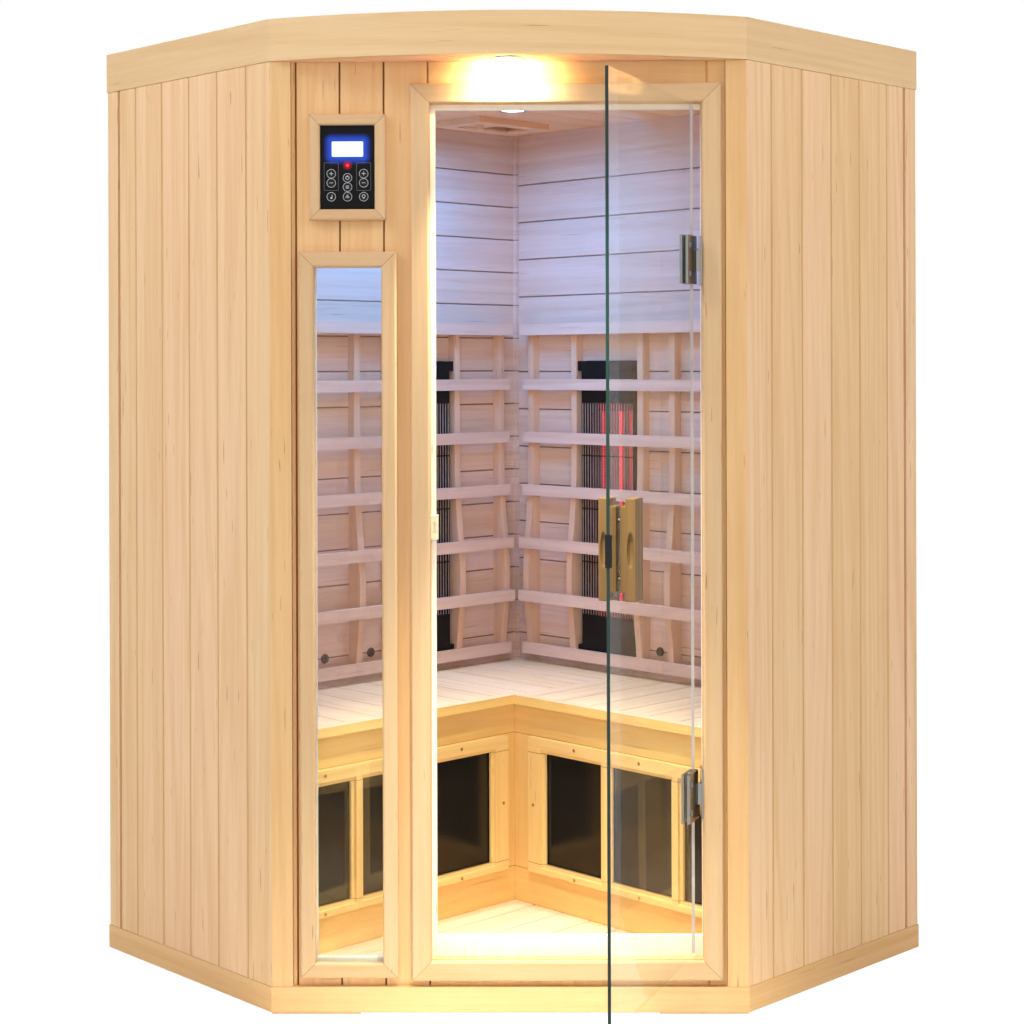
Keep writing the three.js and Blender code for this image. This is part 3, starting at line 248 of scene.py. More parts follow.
# Wood: the grain's scale along and across a board, and what lies between and on boards
ALONG = 1.3
ACROSS = 42.0
UPRIGHT = (ACROSS, ACROSS, ALONG)
LEVEL = (ALONG, ALONG, ACROSS)
ALONG_X = (ALONG, ACROSS, ACROSS)
ALONG_Y = (ACROSS, ALONG, ACROSS)
SEAM = colour(108, 60, 34)
ROSY = (1.0, 0.965, 0.97, 1.0)
SANDY = (0.985, 1.0, 0.95, 1.0)
RESIN = (0.5, 0.33, 0.22)
BOARD_SHIFT = (31.0, 17.0, 23.0)
FLECK_STRETCH = (0.7, 0.7, 1.4)
MITRE_LINE = (0.0003, 0.0012)
MITRE_MARK = 0.55
BUTT_LINE = (0.0003, 0.0013)
BUTT_MARK = 0.6
SEAM_CORE = 0.0007

# How much of the dark tone each part of the figure brings
RING_SHARE = 0.15
STREAK_SHARE = 0.22
FIBRE_SHARE = 0.30
TONE_SHARE = 0.38
RESIN_SHARE = 0.6


class Boards(NamedTuple):
    """A run of boards: its axis, a seam, the pitch, where seams are drawn, how wide and how strongly."""
    axis: int
    seam: float
    pitch: float
    low: float = -BEYOND
    high: float = BEYOND
    width: float = 0.0022
    mark: float = 0.85


def every(graph, axes, limits):
    """1 where each (axis, sign, limit) has sign times its coordinate over the limit."""
    whole = 1.0
    for axis, sign, limit in limits:
        whole = graph.times(graph.above(graph.times(axes[axis], sign), limit), whole)
    return whole


def butts(graph, axes, limits):
    """Fine lines along each (axis, sign, limit)."""
    whole = 0.0
    for axis, sign, limit in limits:
        off = graph.apart(graph.times(axes[axis], sign), limit)
        whole = graph.larger(graph.spread(off, BUTT_LINE, (BUTT_MARK, 0.0), smooth=True), whole)
    return whole


def mitred(graph, axes, mitre):
    """Where a mitred frame's rails are, and its joint lines."""
    x, z, half_x, half_z = mitre
    over_x = graph.minus(graph.apart(axes[X], x), half_x)
    over_z = graph.minus(graph.apart(axes[Z], z), half_z)
    lead = graph.minus(over_z, over_x)
    joint = graph.spread(graph.math("ABSOLUTE", lead), MITRE_LINE, (MITRE_MARK, 0.0), smooth=True)
    return graph.above(lead, 0.0), joint


def boarded(graph, axes, boards):
    """A random value and colour for each board, and the seams between boards."""
    count = graph.math("DIVIDE", graph.minus(axes[boards.axis], boards.seam), boards.pitch)
    chance = graph.add("TexWhiteNoise", {"W": graph.math("FLOOR", count)}, noise_dimensions="1D").outputs
    off = graph.times(graph.apart(count, graph.math("ROUND", count)), boards.pitch)
    line = graph.spread(off, (SEAM_CORE, boards.width), (boards.mark, 0.0), smooth=True)
    shown = every(graph, axes, [(boards.axis, 1.0, boards.low), (boards.axis, -1.0, -boards.high)])
    return chance, graph.times(line, shown)


def figure(graph, grain):
    """Growth rings, streaks, fibres and resin flecks, each from 0 to 1."""
    swirl = graph.noise(grain, scale=0.16, detail=2.0, roughness=0.5, distortion=0.6)
    rings = graph.spread(graph.math("SINE", graph.times(swirl, 64.0)), (-0.2, 1.0), smooth=True)
    streak = graph.noise(grain, scale=2.4, detail=6.0, roughness=0.62, distortion=0.2)
    streak = graph.spread(streak, (0.34, 0.68))
    fibre = graph.noise(grain, scale=11.0, detail=3.0, roughness=0.6)
    drawn = graph.vector("MULTIPLY", grain, FLECK_STRETCH)
    fleck = graph.noise(drawn, scale=7.0, detail=1.0, roughness=0.4)
    return rings, streak, fibre, graph.spread(fleck, (0.74, 0.79), smooth=True)


def wood(name, tones, stretch, boards=None, turn=0.0, mitre=None, cross=None, contrast=1.0, rough=0.56):
    """Softwood from its light and dark tones.

    stretch is the grain's scale on each axis after a turn about Z. mitre is (x, z, half width, half height)
    of a mitred frame, whose rails run level. cross is (stretch, limits) of a part that is laid another way.
    """
    light, dark = tones
    graph = Material(name)
    place = graph.place(turn)
    axes = graph.axes(place)
    grain = graph.vector("MULTIPLY", place, stretch)
    tone = graph.noise(place, scale=1.7, detail=2.0)
    hue = joint = None
    if mitre:
        rail, joint = mitred(graph, axes, mitre)
        grain = graph.mix_vector(rail, grain, graph.vector("MULTIPLY", place, LEVEL))
        tone = graph.plus(graph.times(tone, 0.6), graph.times(rail, 0.3))
    if boards:
        chance, joint = boarded(graph, axes, boards)
        grain = graph.vector("ADD", grain, graph.vector("MULTIPLY", chance["Color"], BOARD_SHIFT))
        tone = graph.plus(graph.times(tone, 0.5), graph.times(chance["Value"], 0.5))
        hue = graph.mix(chance["Value"], ROSY, SANDY)
    if cross:
        other, limits = cross
        inside = every(graph, axes, limits)
        grain = graph.mix_vector(inside, grain, graph.vector("MULTIPLY", place, other))
        joint = graph.times(joint, graph.minus(1.0, inside)) if boards else butts(graph, axes, limits)
    rings, streak, fibre, fleck = figure(graph, grain)
    amount = -0.5
    shares = [(rings, RING_SHARE), (streak, STREAK_SHARE), (fibre, FIBRE_SHARE), (tone, TONE_SHARE)]
    for part, share in shares:
        amount = graph.plus(graph.times(part, share), amount)
    amount = graph.math("ADD", graph.times(amount, contrast), 0.5, clamp=True)
    base = graph.mix(amount, light, dark)
    deep = tuple(share * part for share, part in zip(RESIN, dark)) + (1.0,)
    base = graph.mix(graph.times(fleck, RESIN_SHARE), base, deep)
    if hue is not None:
        base = graph.mix(1.0, base, hue, "MULTIPLY")
    if joint is not None:
        base = graph.mix(joint, base, SEAM)
    gloss = graph.spread(streak, (0.0, 1.0), (rough - 0.06, rough + 0.1))
    relief = graph.bump(graph.plus(graph.times(streak, 0.6), fibre), strength=0.2, distance=0.0005)
    return graph.surface(Base_Color=base, Roughness=gloss, Specular_IOR_Level=0.2, Normal=relief)


# Other finishes
def metal(name, tint, rough, stretch):
    """Brushed or cast metal with fine lines along one axis."""
    graph = Material(name)
    drawn = graph.vector("MULTIPLY", graph.place(), stretch)
    lines = graph.noise(drawn, scale=1.0, detail=5.0, roughness=0.6)
    cloud = graph.noise(graph.place(), scale=30.0, detail=3.0)
    base = graph.mix(graph.times(lines, 0.8), tint, scaled(tint, 0.72))
    gloss = graph.spread(graph.plus(lines, cloud), (0.6, 1.4), (rough - 0.07, rough + 0.1))
    relief = graph.bump(lines, strength=0.12, distance=0.0002)
    return graph.surface(Base_Color=base, Metallic=1.0, Roughness=gloss, Normal=relief)


def coat(name, tint, rough, texture=900.0, shine=0.5):
    """Moulded or powder-coated skin with a fine stipple."""
    graph = Material(name)
    grain = graph.noise(graph.place(), texture, detail=2.0)
    cloud = graph.noise(graph.place(), scale=14.0, detail=3.0)
    base = graph.mix(graph.times(cloud, 0.6), tint, scaled(tint, 1.5, lift=0.004))
    gloss = graph.spread(cloud, (0.3, 0.7), (rough - 0.05, rough + 0.08))
    relief = graph.bump(grain, strength=0.15, distance=0.0002)
    return graph.surface(Base_Color=base, Specular_IOR_Level=shine, Roughness=gloss, Normal=relief)


def laminate(name, tint, rough):
    """Smooth sheet with a faint even fleck."""
    graph = Material(name)
    fleck = graph.noise(graph.place(), scale=420.0, detail=2.0)
    base = graph.mix(graph.times(fleck, 0.8), tint, scaled(tint, 1.7))
    gloss = graph.spread(fleck, (0.3, 0.7), (rough, rough + 0.03))
    return graph.surface(Base_Color=base, Roughness=gloss, Specular_IOR_Level=0.4)


def glass(name, tint, rough=0.01, haze=0.91):
    """Clear sheet that lets the lamps' light through and reflects a little less than bare glass."""
    graph = Material(name)
    smear = graph.noise(graph.vector("MULTIPLY", graph.place(), (3.0, 3.0, 1.2)), scale=1.0, detail=3.0)
    gloss = graph.spread(smear, (0.4, 0.8), (rough, rough + 0.03))
    sheet = graph.shader(Base_Color=tint, Roughness=gloss, Transmission_Weight=1.0, IOR=1.45,
                         Specular_Tint=(1.0, 0.9, 0.78, 1.0))
    clear = graph.add("BsdfTransparent", {"Color": (0.98, 0.99, 0.985, 1.0)})
    path = graph.add("LightPath").outputs
    through = graph.larger(graph.larger(path["Is Shadow Ray"], path["Is Diffuse Ray"]), haze)
    return graph.close(graph.add("MixShader", {0: through, 1: sheet.outputs[0], 2: clear.outputs[0]}))


def glow(name, tint, strength, base, patch=0.06):
    """Lit surface, uneven by a share."""
    graph = Material(name)
    cloud = graph.noise(graph.place(), scale=60.0, detail=2.0)
    power = graph.spread(cloud, (0.3, 0.7), (strength * (1 - patch), strength * (1 + patch)))
    return graph.surface(Base_Color=base, Emission_Color=tint, Emission_Strength=power, Roughness=0.3)


# Painting of the solids
def paint(material, *names):
    """Gives whole nodes one material."""
    for name in names:
        nodes[name].data.materials.clear()
        nodes[name].data.materials.append(material)


def repaint(name, material, chosen):
    """Gives a node's chosen faces a further material."""
    mesh = nodes[name].data
    mesh.materials.append(material)
    for face in mesh.polygons:
        if chosen(face):
            face.material_index = len(mesh.materials) - 1


# Light and dark tones of the wood
PINE = (colour(247, 215, 176), colour(223, 179, 130))
BAND = (colour(236, 208, 166), colour(214, 173, 123))
TRIM = (colour(221, 190, 151), colour(201, 158, 112))
HONEY = (colour(238, 202, 152), colour(212, 160, 102))
BENCH = (colour(249, 219, 151), colour(226, 179, 106))
CALF = (colour(253, 226, 160), colour(233, 187, 114))
# Warmer, darker tone for the backrest's ribs: painted shade under the slats
RIB_SHADE = (colour(240, 203, 176), colour(210, 162, 134))
# Dark tone for the groove beside the rear trim: painted shade in the recess
GAP_SHADE = (colour(186, 136, 100), colour(158, 106, 72))
PALE = (colour(243, 215, 203), colour(209, 167, 144))
SEAT = (colour(249, 226, 193), colour(217, 177, 136))
STOP = (colour(255, 250, 238), colour(246, 233, 212))
CEILING = (colour(255, 219, 180), colour(238, 170, 128))
# Brighter, yellower tone for the seat's front edge: painted light from the lamps in front
NOSE_LIT = (colour(255, 231, 154), colour(244, 188, 107))
GRIP = (colour(143, 113, 75), colour(104, 75, 43))


def dress_wing(side):
    """Wood of a wing's walls, bench and backrest."""
    turn = wing_turn(side)
    corner = wing_corner(side)
    inward = 1 if side == LEFT else -1
    trim = corner.y + inward * REAR_TRIM
    ends = (trim, BEYOND) if side == LEFT else (-BEYOND, trim)
    side_boards = Boards(Y, corner.y + inward * (SIDE - POST), SIDE_BOARD, *ends, width=0.003, mark=0.95)
    back_boards = Boards(X, corner.x, SIDE_BOARD)
    first, pitch = LINING_BOARDS[side]
    top_seam = WALL_TOP - first
    lining_boards = Boards(Z, top_seam, pitch, 0.0, top_seam + pitch / 2, width=0.0019, mark=0.62)
    seat_boards = Boards(X, corner.x + BACK - WALL, SEAT_BOARD)
    nosing_line = inward * corner.y + SEAT_EDGE - NOSING
    nosing = (ALONG_X, [(Y, inward, nosing_line), (X, 1.0, corner.x + SEAT_EDGE)])
    low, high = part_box(f"{side}_calf_heater_frame")
    posts = (UPRIGHT, [(Z, 1.0, low.z), (Z, -1.0, -high.z)])
    stiles = (UPRIGHT, [(Z, 1.0, low.z + CALF_FOOT_RAIL), (Z, -1.0, CALF_TOP_RAIL - high.z)])
    paint(wood(f"cladding_{side}", PINE, UPRIGHT, side_boards, turn, contrast=1.3), f"{side}_side_panel")
    paint(wood(f"back_cladding_{side}", PINE, UPRIGHT, back_boards, turn), f"{side}_back_panel")
    paint(wood(f"lining_{side}", PALE, LEVEL, lining_boards), f"{side}_back_lining", f"{side}_side_lining")
    paint(wood(f"seat_{side}", SEAT, ALONG_Y, seat_boards, turn, cross=nosing), f"{side}_bench_seat")
    # Bench front, with dark lines along the calf frame's top and foot that are partly the boards' joints
    # and partly painted shadow
    paint(wood(f"bench_front_{side}", BENCH, LEVEL, cross=posts), f"{side}_bench_front")
    paint(wood(f"calf_frame_{side}", CALF, LEVEL, cross=stiles, contrast=0.8), f"{side}_calf_heater_frame")
    paint(wood(f"backrest_{side}", PALE, LEVEL), f"{side}_backrest")


# Darker honey tone for the front post's faces: painted shade on the front of the cabin
post_shaded_wood = wood("post_shaded_wood", HONEY, UPRIGHT)
gap_shade_wood = wood("gap_shade_wood", GAP_SHADE, UPRIGHT)
rib_shaded_wood = wood("rib_shaded_wood", RIB_SHADE, UPRIGHT)
nosing_lit_wood = wood("nosing_lit_wood", NOSE_LIT, LEVEL)
ALIGNED = 0.9
SQUARE = 0.95
END_MARGIN = 0.002
SLAT_MARGIN = 0.001
GAP_DEPTH = 0.004


def repaint_wing(side):
    """Faces of the front post, gap beside the rear trim, nosing of the seat and ribs of the backrest, with
    painted shade on the post, the gap and the ribs and painted light on the nosing.
    """
    along, inward = wing_along(side), wing_inward(side)
    outer = max(vertex.co.dot(along) for vertex in nodes[f"{side}_side_panel"].data.vertices)
    reach = [vertex.co.dot(along) for vertex in nodes[f"{side}_backrest"].data.vertices]
    low, high = min(reach) + END_MARGIN, max(reach) - END_MARGIN

    def gap(face):
        return face.normal.dot(along) > ALIGNED and face.center.dot(along) < outer - GAP_DEPTH

    def rib(face):
        if abs(face.normal.dot(along)) > ALIGNED:
            return low < face.center.dot(along) < high
        step = (face.center.z - FIRST_SLAT) / SLAT_PITCH
        off = abs(step - round(step)) * SLAT_PITCH
        return off > SLAT_HEIGHT / 2 + SLAT_MARGIN and face.center.z < BACKREST_RAIL

    # Painted shade: the front post's faces take the darker honey tone
    repaint(f"{side}_side_panel", post_shaded_wood, lambda face: face.normal.y < -SQUARE)
    # Painted shade in the groove beside the rear trim
    repaint(f"{side}_side_panel", gap_shade_wood, gap)
    # Painted light on the seat's front edge
    repaint(f"{side}_bench_seat", nosing_lit_wood, lambda face: face.normal.dot(inward) > ALIGNED)
    # Painted shade on the ribs between the slats
    repaint(f"{side}_backrest", rib_shaded_wood, rib)


for side in SIDES:
    dress_wing(side)
    repaint_wing(side)

# Front, roof and floor
EIGHTH = math.radians(-45)
SEAM_MARGIN = 0.01
front_boards = Boards(X, FRONT_SEAM, FRONT_BOARD, -BEYOND, FRONT_SEAM + SEAM_MARGIN)
header = (LEVEL, [(X, 1.0, FRONT_SEAM), (Z, 1.0, DOOR_HEAD)])
floor_boards = Boards(Y, SEAT_BOARD / 2, SEAT_BOARD)
ceiling_boards = Boards(Y, CEILING_BOARD / 2, CEILING_BOARD)
# The front wall's honey tone is the pine darkened by painted shade on the cabin's front
paint(wood("front_boards", HONEY, UPRIGHT, front_boards, cross=header), "front_panel")
paint(wood("front_inside", STOP, UPRIGHT), "front_lining")
paint(wood("roof_band", BAND, LEVEL), "roof_cap")
repaint("roof_cap", wood("roof_cover", BAND, ALONG_X), lambda face: face.normal.z > ALIGNED)
paint(wood("base_band", HONEY, LEVEL), "base_tray")
paint(wood("floor_boards", SEAT, ALONG_X, floor_boards, EIGHTH), "floor_panel")
paint(wood("ceiling_boards", CEILING, ALONG_X, ceiling_boards, EIGHTH), "ceiling_panel")
paint(wood("vent_wood", CEILING, ALONG_X, turn=EIGHTH), "vent_frame", "vent_slide")
paint(wood("handle_wood", GRIP, UPRIGHT, rough=0.42), "door_handle_outer", "door_handle_inner")

# The casings' darker trim tone is the pine darkened by painted shade on the cabin's front
CASINGS = ("door_casing", "window_casing", "control_casing")
for name in CASINGS:
    low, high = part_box(name)
    middle = (low + high) / 2
    half = (high - low) / 2
    paint(wood(name + "_wood", TRIM, UPRIGHT, mitre=(middle.x, middle.z, half.x, half.z)), name)

# Fittings
EVEN = (300.0, 300.0, 300.0)
paint(metal("hinge_steel", colour(164, 160, 152), 0.18, (40.0, 40.0, 900.0)),
      *[name for name in nodes if "_hinge_" in name])
paint(coat("heater_black", colour(18, 18, 20), 0.5, shine=0.25),
      "left_heater_housing", "right_heater_housing", "strike_plate")
paint(coat("key_black", colour(20, 20, 22), 0.45, 1500.0, 0.2), *KEYS)
paint(coat("unit_black", colour(38, 38, 40), 0.5), "power_unit")
paint(coat("catch_cream", colour(236, 222, 188), 0.45), "magnet_catch")
paint(metal("lamp_metal", colour(214, 214, 210), 0.25, (200.0, 200.0, 60.0)),
      "exterior_light", "ceiling_light")
paint(laminate("calf_laminate", colour(27, 25, 23), 0.14), "left_calf_heater", "right_calf_heater")

# Tube heaters
GRILLE_BARS = 5
GRILLE_BAR = 0.0018
HEATER_CENTRE = 0.379
TUBE_ENDS = (0.65, 1.126)
TUBE_SPACING = 0.056
TUBE_WIRE = (0.0012, 0.0056)
COIL = 900.0
INNER_TUBE = 0.35
TUBE_GLOW = {LEFT: 1.6, RIGHT: 5.0}


def grille_wire():
    """Bright wires with blackened bars across them."""
    low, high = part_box("left_heater_grille")
    graph = Material("grille_wire")
    height = graph.axes(graph.place())[Z]
    pitch = (high.z - low.z - GRILLE_BAR) / (GRILLE_BARS - 1)
    count = graph.math("DIVIDE", graph.minus(height, low.z + GRILLE_BAR / 2), pitch)
    off = graph.times(graph.apart(count, graph.math("ROUND", count)), pitch)
    cloud = graph.noise(graph.place(), scale=90.0, detail=3.0)
    bright = graph.mix(cloud, colour(200, 186, 176), colour(142, 130, 122))
    base = graph.mix(graph.above(off, GRILLE_BAR), colour(30, 28, 28), bright)
    gloss = graph.spread(cloud, (0.3, 0.7), (0.36, 0.46))
    return graph.surface(Base_Color=base, Metallic=0.2, Roughness=gloss)


def quartz(side):
    """Red tubes with a glowing wire in each, brighter away from the corner and towards the top."""
    graph = Material(f"quartz_{side}")
    axes = graph.axes(graph.place(wing_turn(side)))
    low, high = TUBE_ENDS
    middle = wing_corner(side).x + HEATER_CENTRE
    lit = every(graph, axes, [(Z, 1.0, low), (Z, -1.0, -high)])
    outer = graph.times(every(graph, axes, [(X, 1.0, middle)]), 1.0 - INNER_TUBE)
    lit = graph.times(lit, graph.plus(outer, INNER_TUBE))
    lit = graph.times(lit, graph.spread(axes[Z], TUBE_ENDS, (0.45, 1.0)))
    off = graph.apart(graph.apart(axes[X], middle), TUBE_SPACING / 2)
    wire = graph.spread(off, TUBE_WIRE, (1.0, 0.14), smooth=True)
    lit = graph.plus(graph.times(lit, wire), 0.03)
    coil = graph.spread(graph.math("SINE", graph.times(axes[Z], COIL)), (-1.0, 1.0), (0.3, 1.0))
    power = graph.times(graph.times(lit, coil), TUBE_GLOW[side])
    return graph.surface(Base_Color=colour(120, 40, 36), Emission_Color=colour(255, 44, 60),
                         Emission_Strength=power, Roughness=0.2)


def line_trough(side, material):
    """Bright reflector at the back of a heater's trough."""
    inward = wing_inward(side)
    limit = Vector((0, REAR_Y, 0)).dot(inward) + WALL
    repaint(f"{side}_heater_housing", material,
            lambda face: face.normal.dot(inward) > ALIGNED and face.center.dot(inward) < limit)


paint(grille_wire(), "left_heater_grille", "right_heater_grille")
reflector = metal("heater_reflector", colour(188, 166, 158), 0.32, (60.0, 60.0, 4.0))
for side in SIDES:
    paint(quartz(side), f"{side}_quartz_tubes")
    line_trough(side, reflector)

# Glass, with a green cut edge on the faces that look along the sheet and a lit one on the hinge side
clear_glass = glass("clear_glass", colour(236, 246, 242))
cut_edge = coat("glass_edge", colour(9, 40, 34), 0.12, 200.0)
lit_edge = coat("glass_edge_lit", colour(166, 155, 152), 0.2, 200.0)
door_side = DOOR_TURN @ Vector((1, 0, 0))
door_face = DOOR_TURN @ Vector((0, 1, 0))
paint(clear_glass, "door_glass", "window_glass")
repaint("window_glass", cut_edge, lambda face: abs(face.normal.y) <= ALIGNED)
repaint("door_glass", cut_edge,
        lambda face: abs(face.normal.dot(door_face)) <= ALIGNED and abs(face.normal.z) <= ALIGNED)
repaint("door_glass", lit_edge, lambda face: face.normal.dot(door_side) > ALIGNED)

# Eased edges, as sanding or moulding leaves them
EASED = (*CASINGS, "left_calf_heater_frame", "right_calf_heater_frame", "left_backrest", "right_backrest",
         "left_bench_front", "right_bench_front", "door_handle_outer", "door_handle_inner", "base_tray")
EASE_WIDTH = 0.0012
EASE_ANGLE = math.radians(35)
WELD_DISTANCE = 0.00002


def soften(name):
    """Welds a solid's corners and bevels its sharp edges."""
    target = nodes[name]
    weld = target.modifiers.new("weld", "WELD")
    weld.merge_threshold = WELD_DISTANCE
    ease = target.modifiers.new("ease", "BEVEL")
    ease.width = EASE_WIDTH
    ease.segments = 2
    ease.limit_method = "ANGLE"
    ease.angle_limit = EASE_ANGLE
    ease.harden_normals = False
    for face in target.data.polygons:
        face.use_smooth = False


for name in EASED:
    soften(name)


# Small pieces
def piece(name, mesh_maker, material, body):
    """Makes a piece that rides on a body."""
    mesh = bpy.data.meshes.new(name)
    shape = bmesh.new()
    mesh_maker(shape)
    bmesh.ops.recalc_face_normals(shape, faces=shape.faces)
    shape.to_mesh(mesh)
    shape.free()
    made = bpy.data.objects.new(name, mesh)
    scene.collection.objects.link(made)
    mesh.materials.append(material)
    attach(made, body)


def lathe(shape, profile, place, normal, sides=24):
    """Adds a turned form from (radius, height) pairs, along normal from place."""
    spin = Vector(normal).normalized().to_track_quat("Z", "Y").to_matrix()
    rings = []
    for radius, height in profile:
        ring = []
        for step in range(sides if radius else 1):
            angle = 2 * math.pi * step / sides
            point = Vector((radius * math.cos(angle), radius * math.sin(angle), height))
            ring.append(shape.verts.new(Vector(place) + spin @ point))
        rings.append(ring)
    for a, b in zip(rings, rings[1:]):
        for step in range(sides):
            following = (step + 1) % sides
            corners = [a[step % len(a)], a[following % len(a)], b[following % len(b)], b[step % len(b)]]
            unique = list(dict.fromkeys(corners))
            if len(unique) > 2:
                shape.faces.new(unique)


def bar(shape, centre, size):
    """Adds a rectangular block with the given centre and full size."""
    matrix = Matrix.Translation(centre) @ Matrix.Diagonal((*size, 1.0))
    bmesh.ops.create_cube(shape, size=1.0, matrix=matrix)


def rounded(shape, x, z, width, height, radius, front_y, back_y, steps=6):
    """Adds a block with rounded corners facing -Y."""
    ring = []
    for side_x, side_z, start in ((1, 1, 0), (-1, 1, 90), (-1, -1, 180), (1, -1, 270)):
        for step in range(steps + 1):
            angle = math.radians(start + 90 * step / steps)
            ring.append((x + side_x * (width / 2 - radius) + radius * math.cos(angle),
                         z + side_z * (height / 2 - radius) + radius * math.sin(angle)))
    front = [shape.verts.new((a, front_y, b)) for a, b in ring]
    back = [shape.verts.new((a, back_y, b)) for a, b in ring]
    shape.faces.new(front)
    shape.faces.new(back[::-1])
    for step in range(len(ring)):
        following = (step + 1) % len(ring)
        shape.faces.new([front[step], back[step], back[following], front[following]])


# Screws through the calf heater frames, in the end stiles and over and under each pane
SCREW = [(0, 0.0004), (0.0012, 0.0004), (0.0016, 0.001), (0.0032, 0.0008), (0.0038, 0.0), (0, -0.0004)]
CALF_ENDS = {LEFT: (0.4556, 1.1204), RIGHT: (0.4806, 1.1464)}
CALF_END_STILE = 0.048
CALF_END_SCREW = 0.016
CALF_PANES = 3
CALF_FACE = 0.4379
CALF_RAILS = (0.1135, 0.397)
CALF_MIDDLE = 0.258

# Plugs low in the back walls
PLUG = [(0, 0.003), (0.004, 0.003), (0.005, 0.0045), (0.0092, 0.0045), (0.011, 0.002), (0.011, 0.0),
        (0, 0.0)]
PLUG_PLACES = (0.530, 0.668)
PLUG_HEIGHT = 0.56
PLUG_SINK = 0.0003


def calf_screws(side):
    start, end = CALF_ENDS[side]
    run = end - start - 2 * CALF_END_STILE
    spots = [(start + CALF_END_SCREW, CALF_MIDDLE), (end - CALF_END_SCREW, CALF_MIDDLE)]
    for pane in range(CALF_PANES):
        along = start + CALF_END_STILE + run * (pane + 0.5) / CALF_PANES
        spots += [(along, height) for height in CALF_RAILS]

    def build(shape):
        for along, height in spots:
            lathe(shape, SCREW, wing_point(side, along, CALF_FACE, height), wing_inward(side), 14)
    return build


def wall_plugs(side):
    def build(shape):
        for along in PLUG_PLACES:
            lathe(shape, PLUG, wing_point(side, along, WALL - PLUG_SINK, PLUG_HEIGHT), wing_inward(side))
    return build


brass = metal("screw_brass", colour(196, 160, 96), 0.35, EVEN)
plug_black = coat("plug_black", colour(30, 28, 28), 0.4)
for side in SIDES:
    piece(f"calf_screws_{side}", calf_screws(side), brass, "cabin")
    piece(f"wall_plugs_{side}", wall_plugs(side), plug_black, "cabin")

# Lamp lenses
LENS = [(0, 0.0016), (0.012, 0.0014), (0.021, 0.0007), (0.0262, 0.0), (0, -0.0004)]
LENS_RISE = 0.0024
LENS_BASE = (0.8, 0.8, 0.8, 1.0)


def lens(name, lamp_node, tint, strength):
    low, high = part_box(lamp_node)
    centre = Vector(((low.x + high.x) / 2, (low.y + high.y) / 2, low.z + LENS_RISE))
    piece(name, lambda shape: lathe(shape, LENS, centre, (0, 0, -1), 32),
          glow(name + "_light", tint, strength, LENS_BASE, patch=0.1), "cabin")


lens("exterior_lens", "exterior_light", colour(255, 240, 208), 6.0)
lens("ceiling_lens", "ceiling_light", colour(226, 232, 255), 4.0)

# Keypad: lit display, status lamp, rings round the keys and frames round their columns
plate_low, plate_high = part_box("control_faceplate")
PLATE_X = (plate_low.x + plate_high.x) / 2
PLATE_Z = (plate_low.z + plate_high.z) / 2
PLATE_Y = plate_low.y
DISPLAY = (PLATE_X, PLATE_Z + 0.035, 0.060, 0.029)
DISPLAY_CORNER = 0.002
DISPLAY_DEPTHS = (PLATE_Y + 0.0002, PLATE_Y + 0.0009)
DISPLAY_GLOW = (0.0, 0.018)
LAMP_Z = PLATE_Z + 0.004
LAMP_BEAD = [(0, 0.0012), (0.0016, 0.0009), (0.0024, 0.0), (0, -0.0002)]
LAMP_GLOW = (0.001, 0.011)
FORWARD = (0, -1, 0)
PRINT = 0.0003
PRINT_SINK = 0.0001
RING_PRINT = 0.0002
KEY_RING = (0.0080, 0.0007)
COLUMN_OFFSET = 0.031
COLUMN_WIDTH = 0.0270
COLUMN_LINE = 0.0005
COLUMN_TOP = PLATE_Z + 0.0088
COLUMN_FOOT = PLATE_Z - 0.0440


def panel_black():
    """Dark plastic lit a little round the display and the lamp."""
    graph = Material("panel_black")
    axes = graph.axes(graph.place())
    x, z, width, height = DISPLAY
    over_x = graph.larger(graph.minus(graph.apart(axes[X], x), width / 2), 0.0)
    over_z = graph.larger(graph.minus(graph.apart(axes[Z], z), height / 2), 0.0)
    blue = graph.spread(graph.length(over_x, over_z), DISPLAY_GLOW, (1.0, 0.0), smooth=True)
    lamp_off = graph.length(graph.minus(axes[X], x), graph.minus(axes[Z], LAMP_Z))
    red = graph.spread(lamp_off, LAMP_GLOW, (1.0, 0.0), smooth=True)
    light = graph.mix(blue, (0.0, 0.0, 0.0, 1.0), colour(44, 84, 220))
    light = graph.mix(red, light, colour(200, 24, 40))
    grain = graph.noise(graph.place(), scale=1500.0, detail=2.0)
    stipple = graph.bump(grain, strength=0.1, distance=0.0002)
    return graph.surface(Base_Color=colour(11, 10, 11), Roughness=0.45, Specular_IOR_Level=0.15,
                         Normal=stipple, Emission_Color=light, Emission_Strength=0.9)


def ring_print(shape, x, z, radius, width, y):
    """Adds a flat printed ring facing -Y."""
    outer = radius + width
    profile = [(radius, 0.0), (radius, RING_PRINT), (outer, RING_PRINT), (outer, 0.0)]
    lathe(shape, profile, (x, y, z), FORWARD, 32)


def key_rings(shape):
    for name in KEYS:
        low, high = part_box(name)
        ring_print(shape, (low.x + high.x) / 2, (low.z + high.z) / 2, *KEY_RING, PLATE_Y + PRINT_SINK)


def column_frames(shape):
    middle = (COLUMN_TOP + COLUMN_FOOT) / 2
    for x in (PLATE_X - COLUMN_OFFSET, PLATE_X + COLUMN_OFFSET):
        for z in (COLUMN_TOP, COLUMN_FOOT):
            bar(shape, (x, PLATE_Y, z), (COLUMN_WIDTH, PRINT, COLUMN_LINE))
        for edge in (-COLUMN_WIDTH / 2, COLUMN_WIDTH / 2):
            bar(shape, (x + edge, PLATE_Y, middle), (COLUMN_LINE, PRINT, COLUMN_TOP - COLUMN_FOOT))


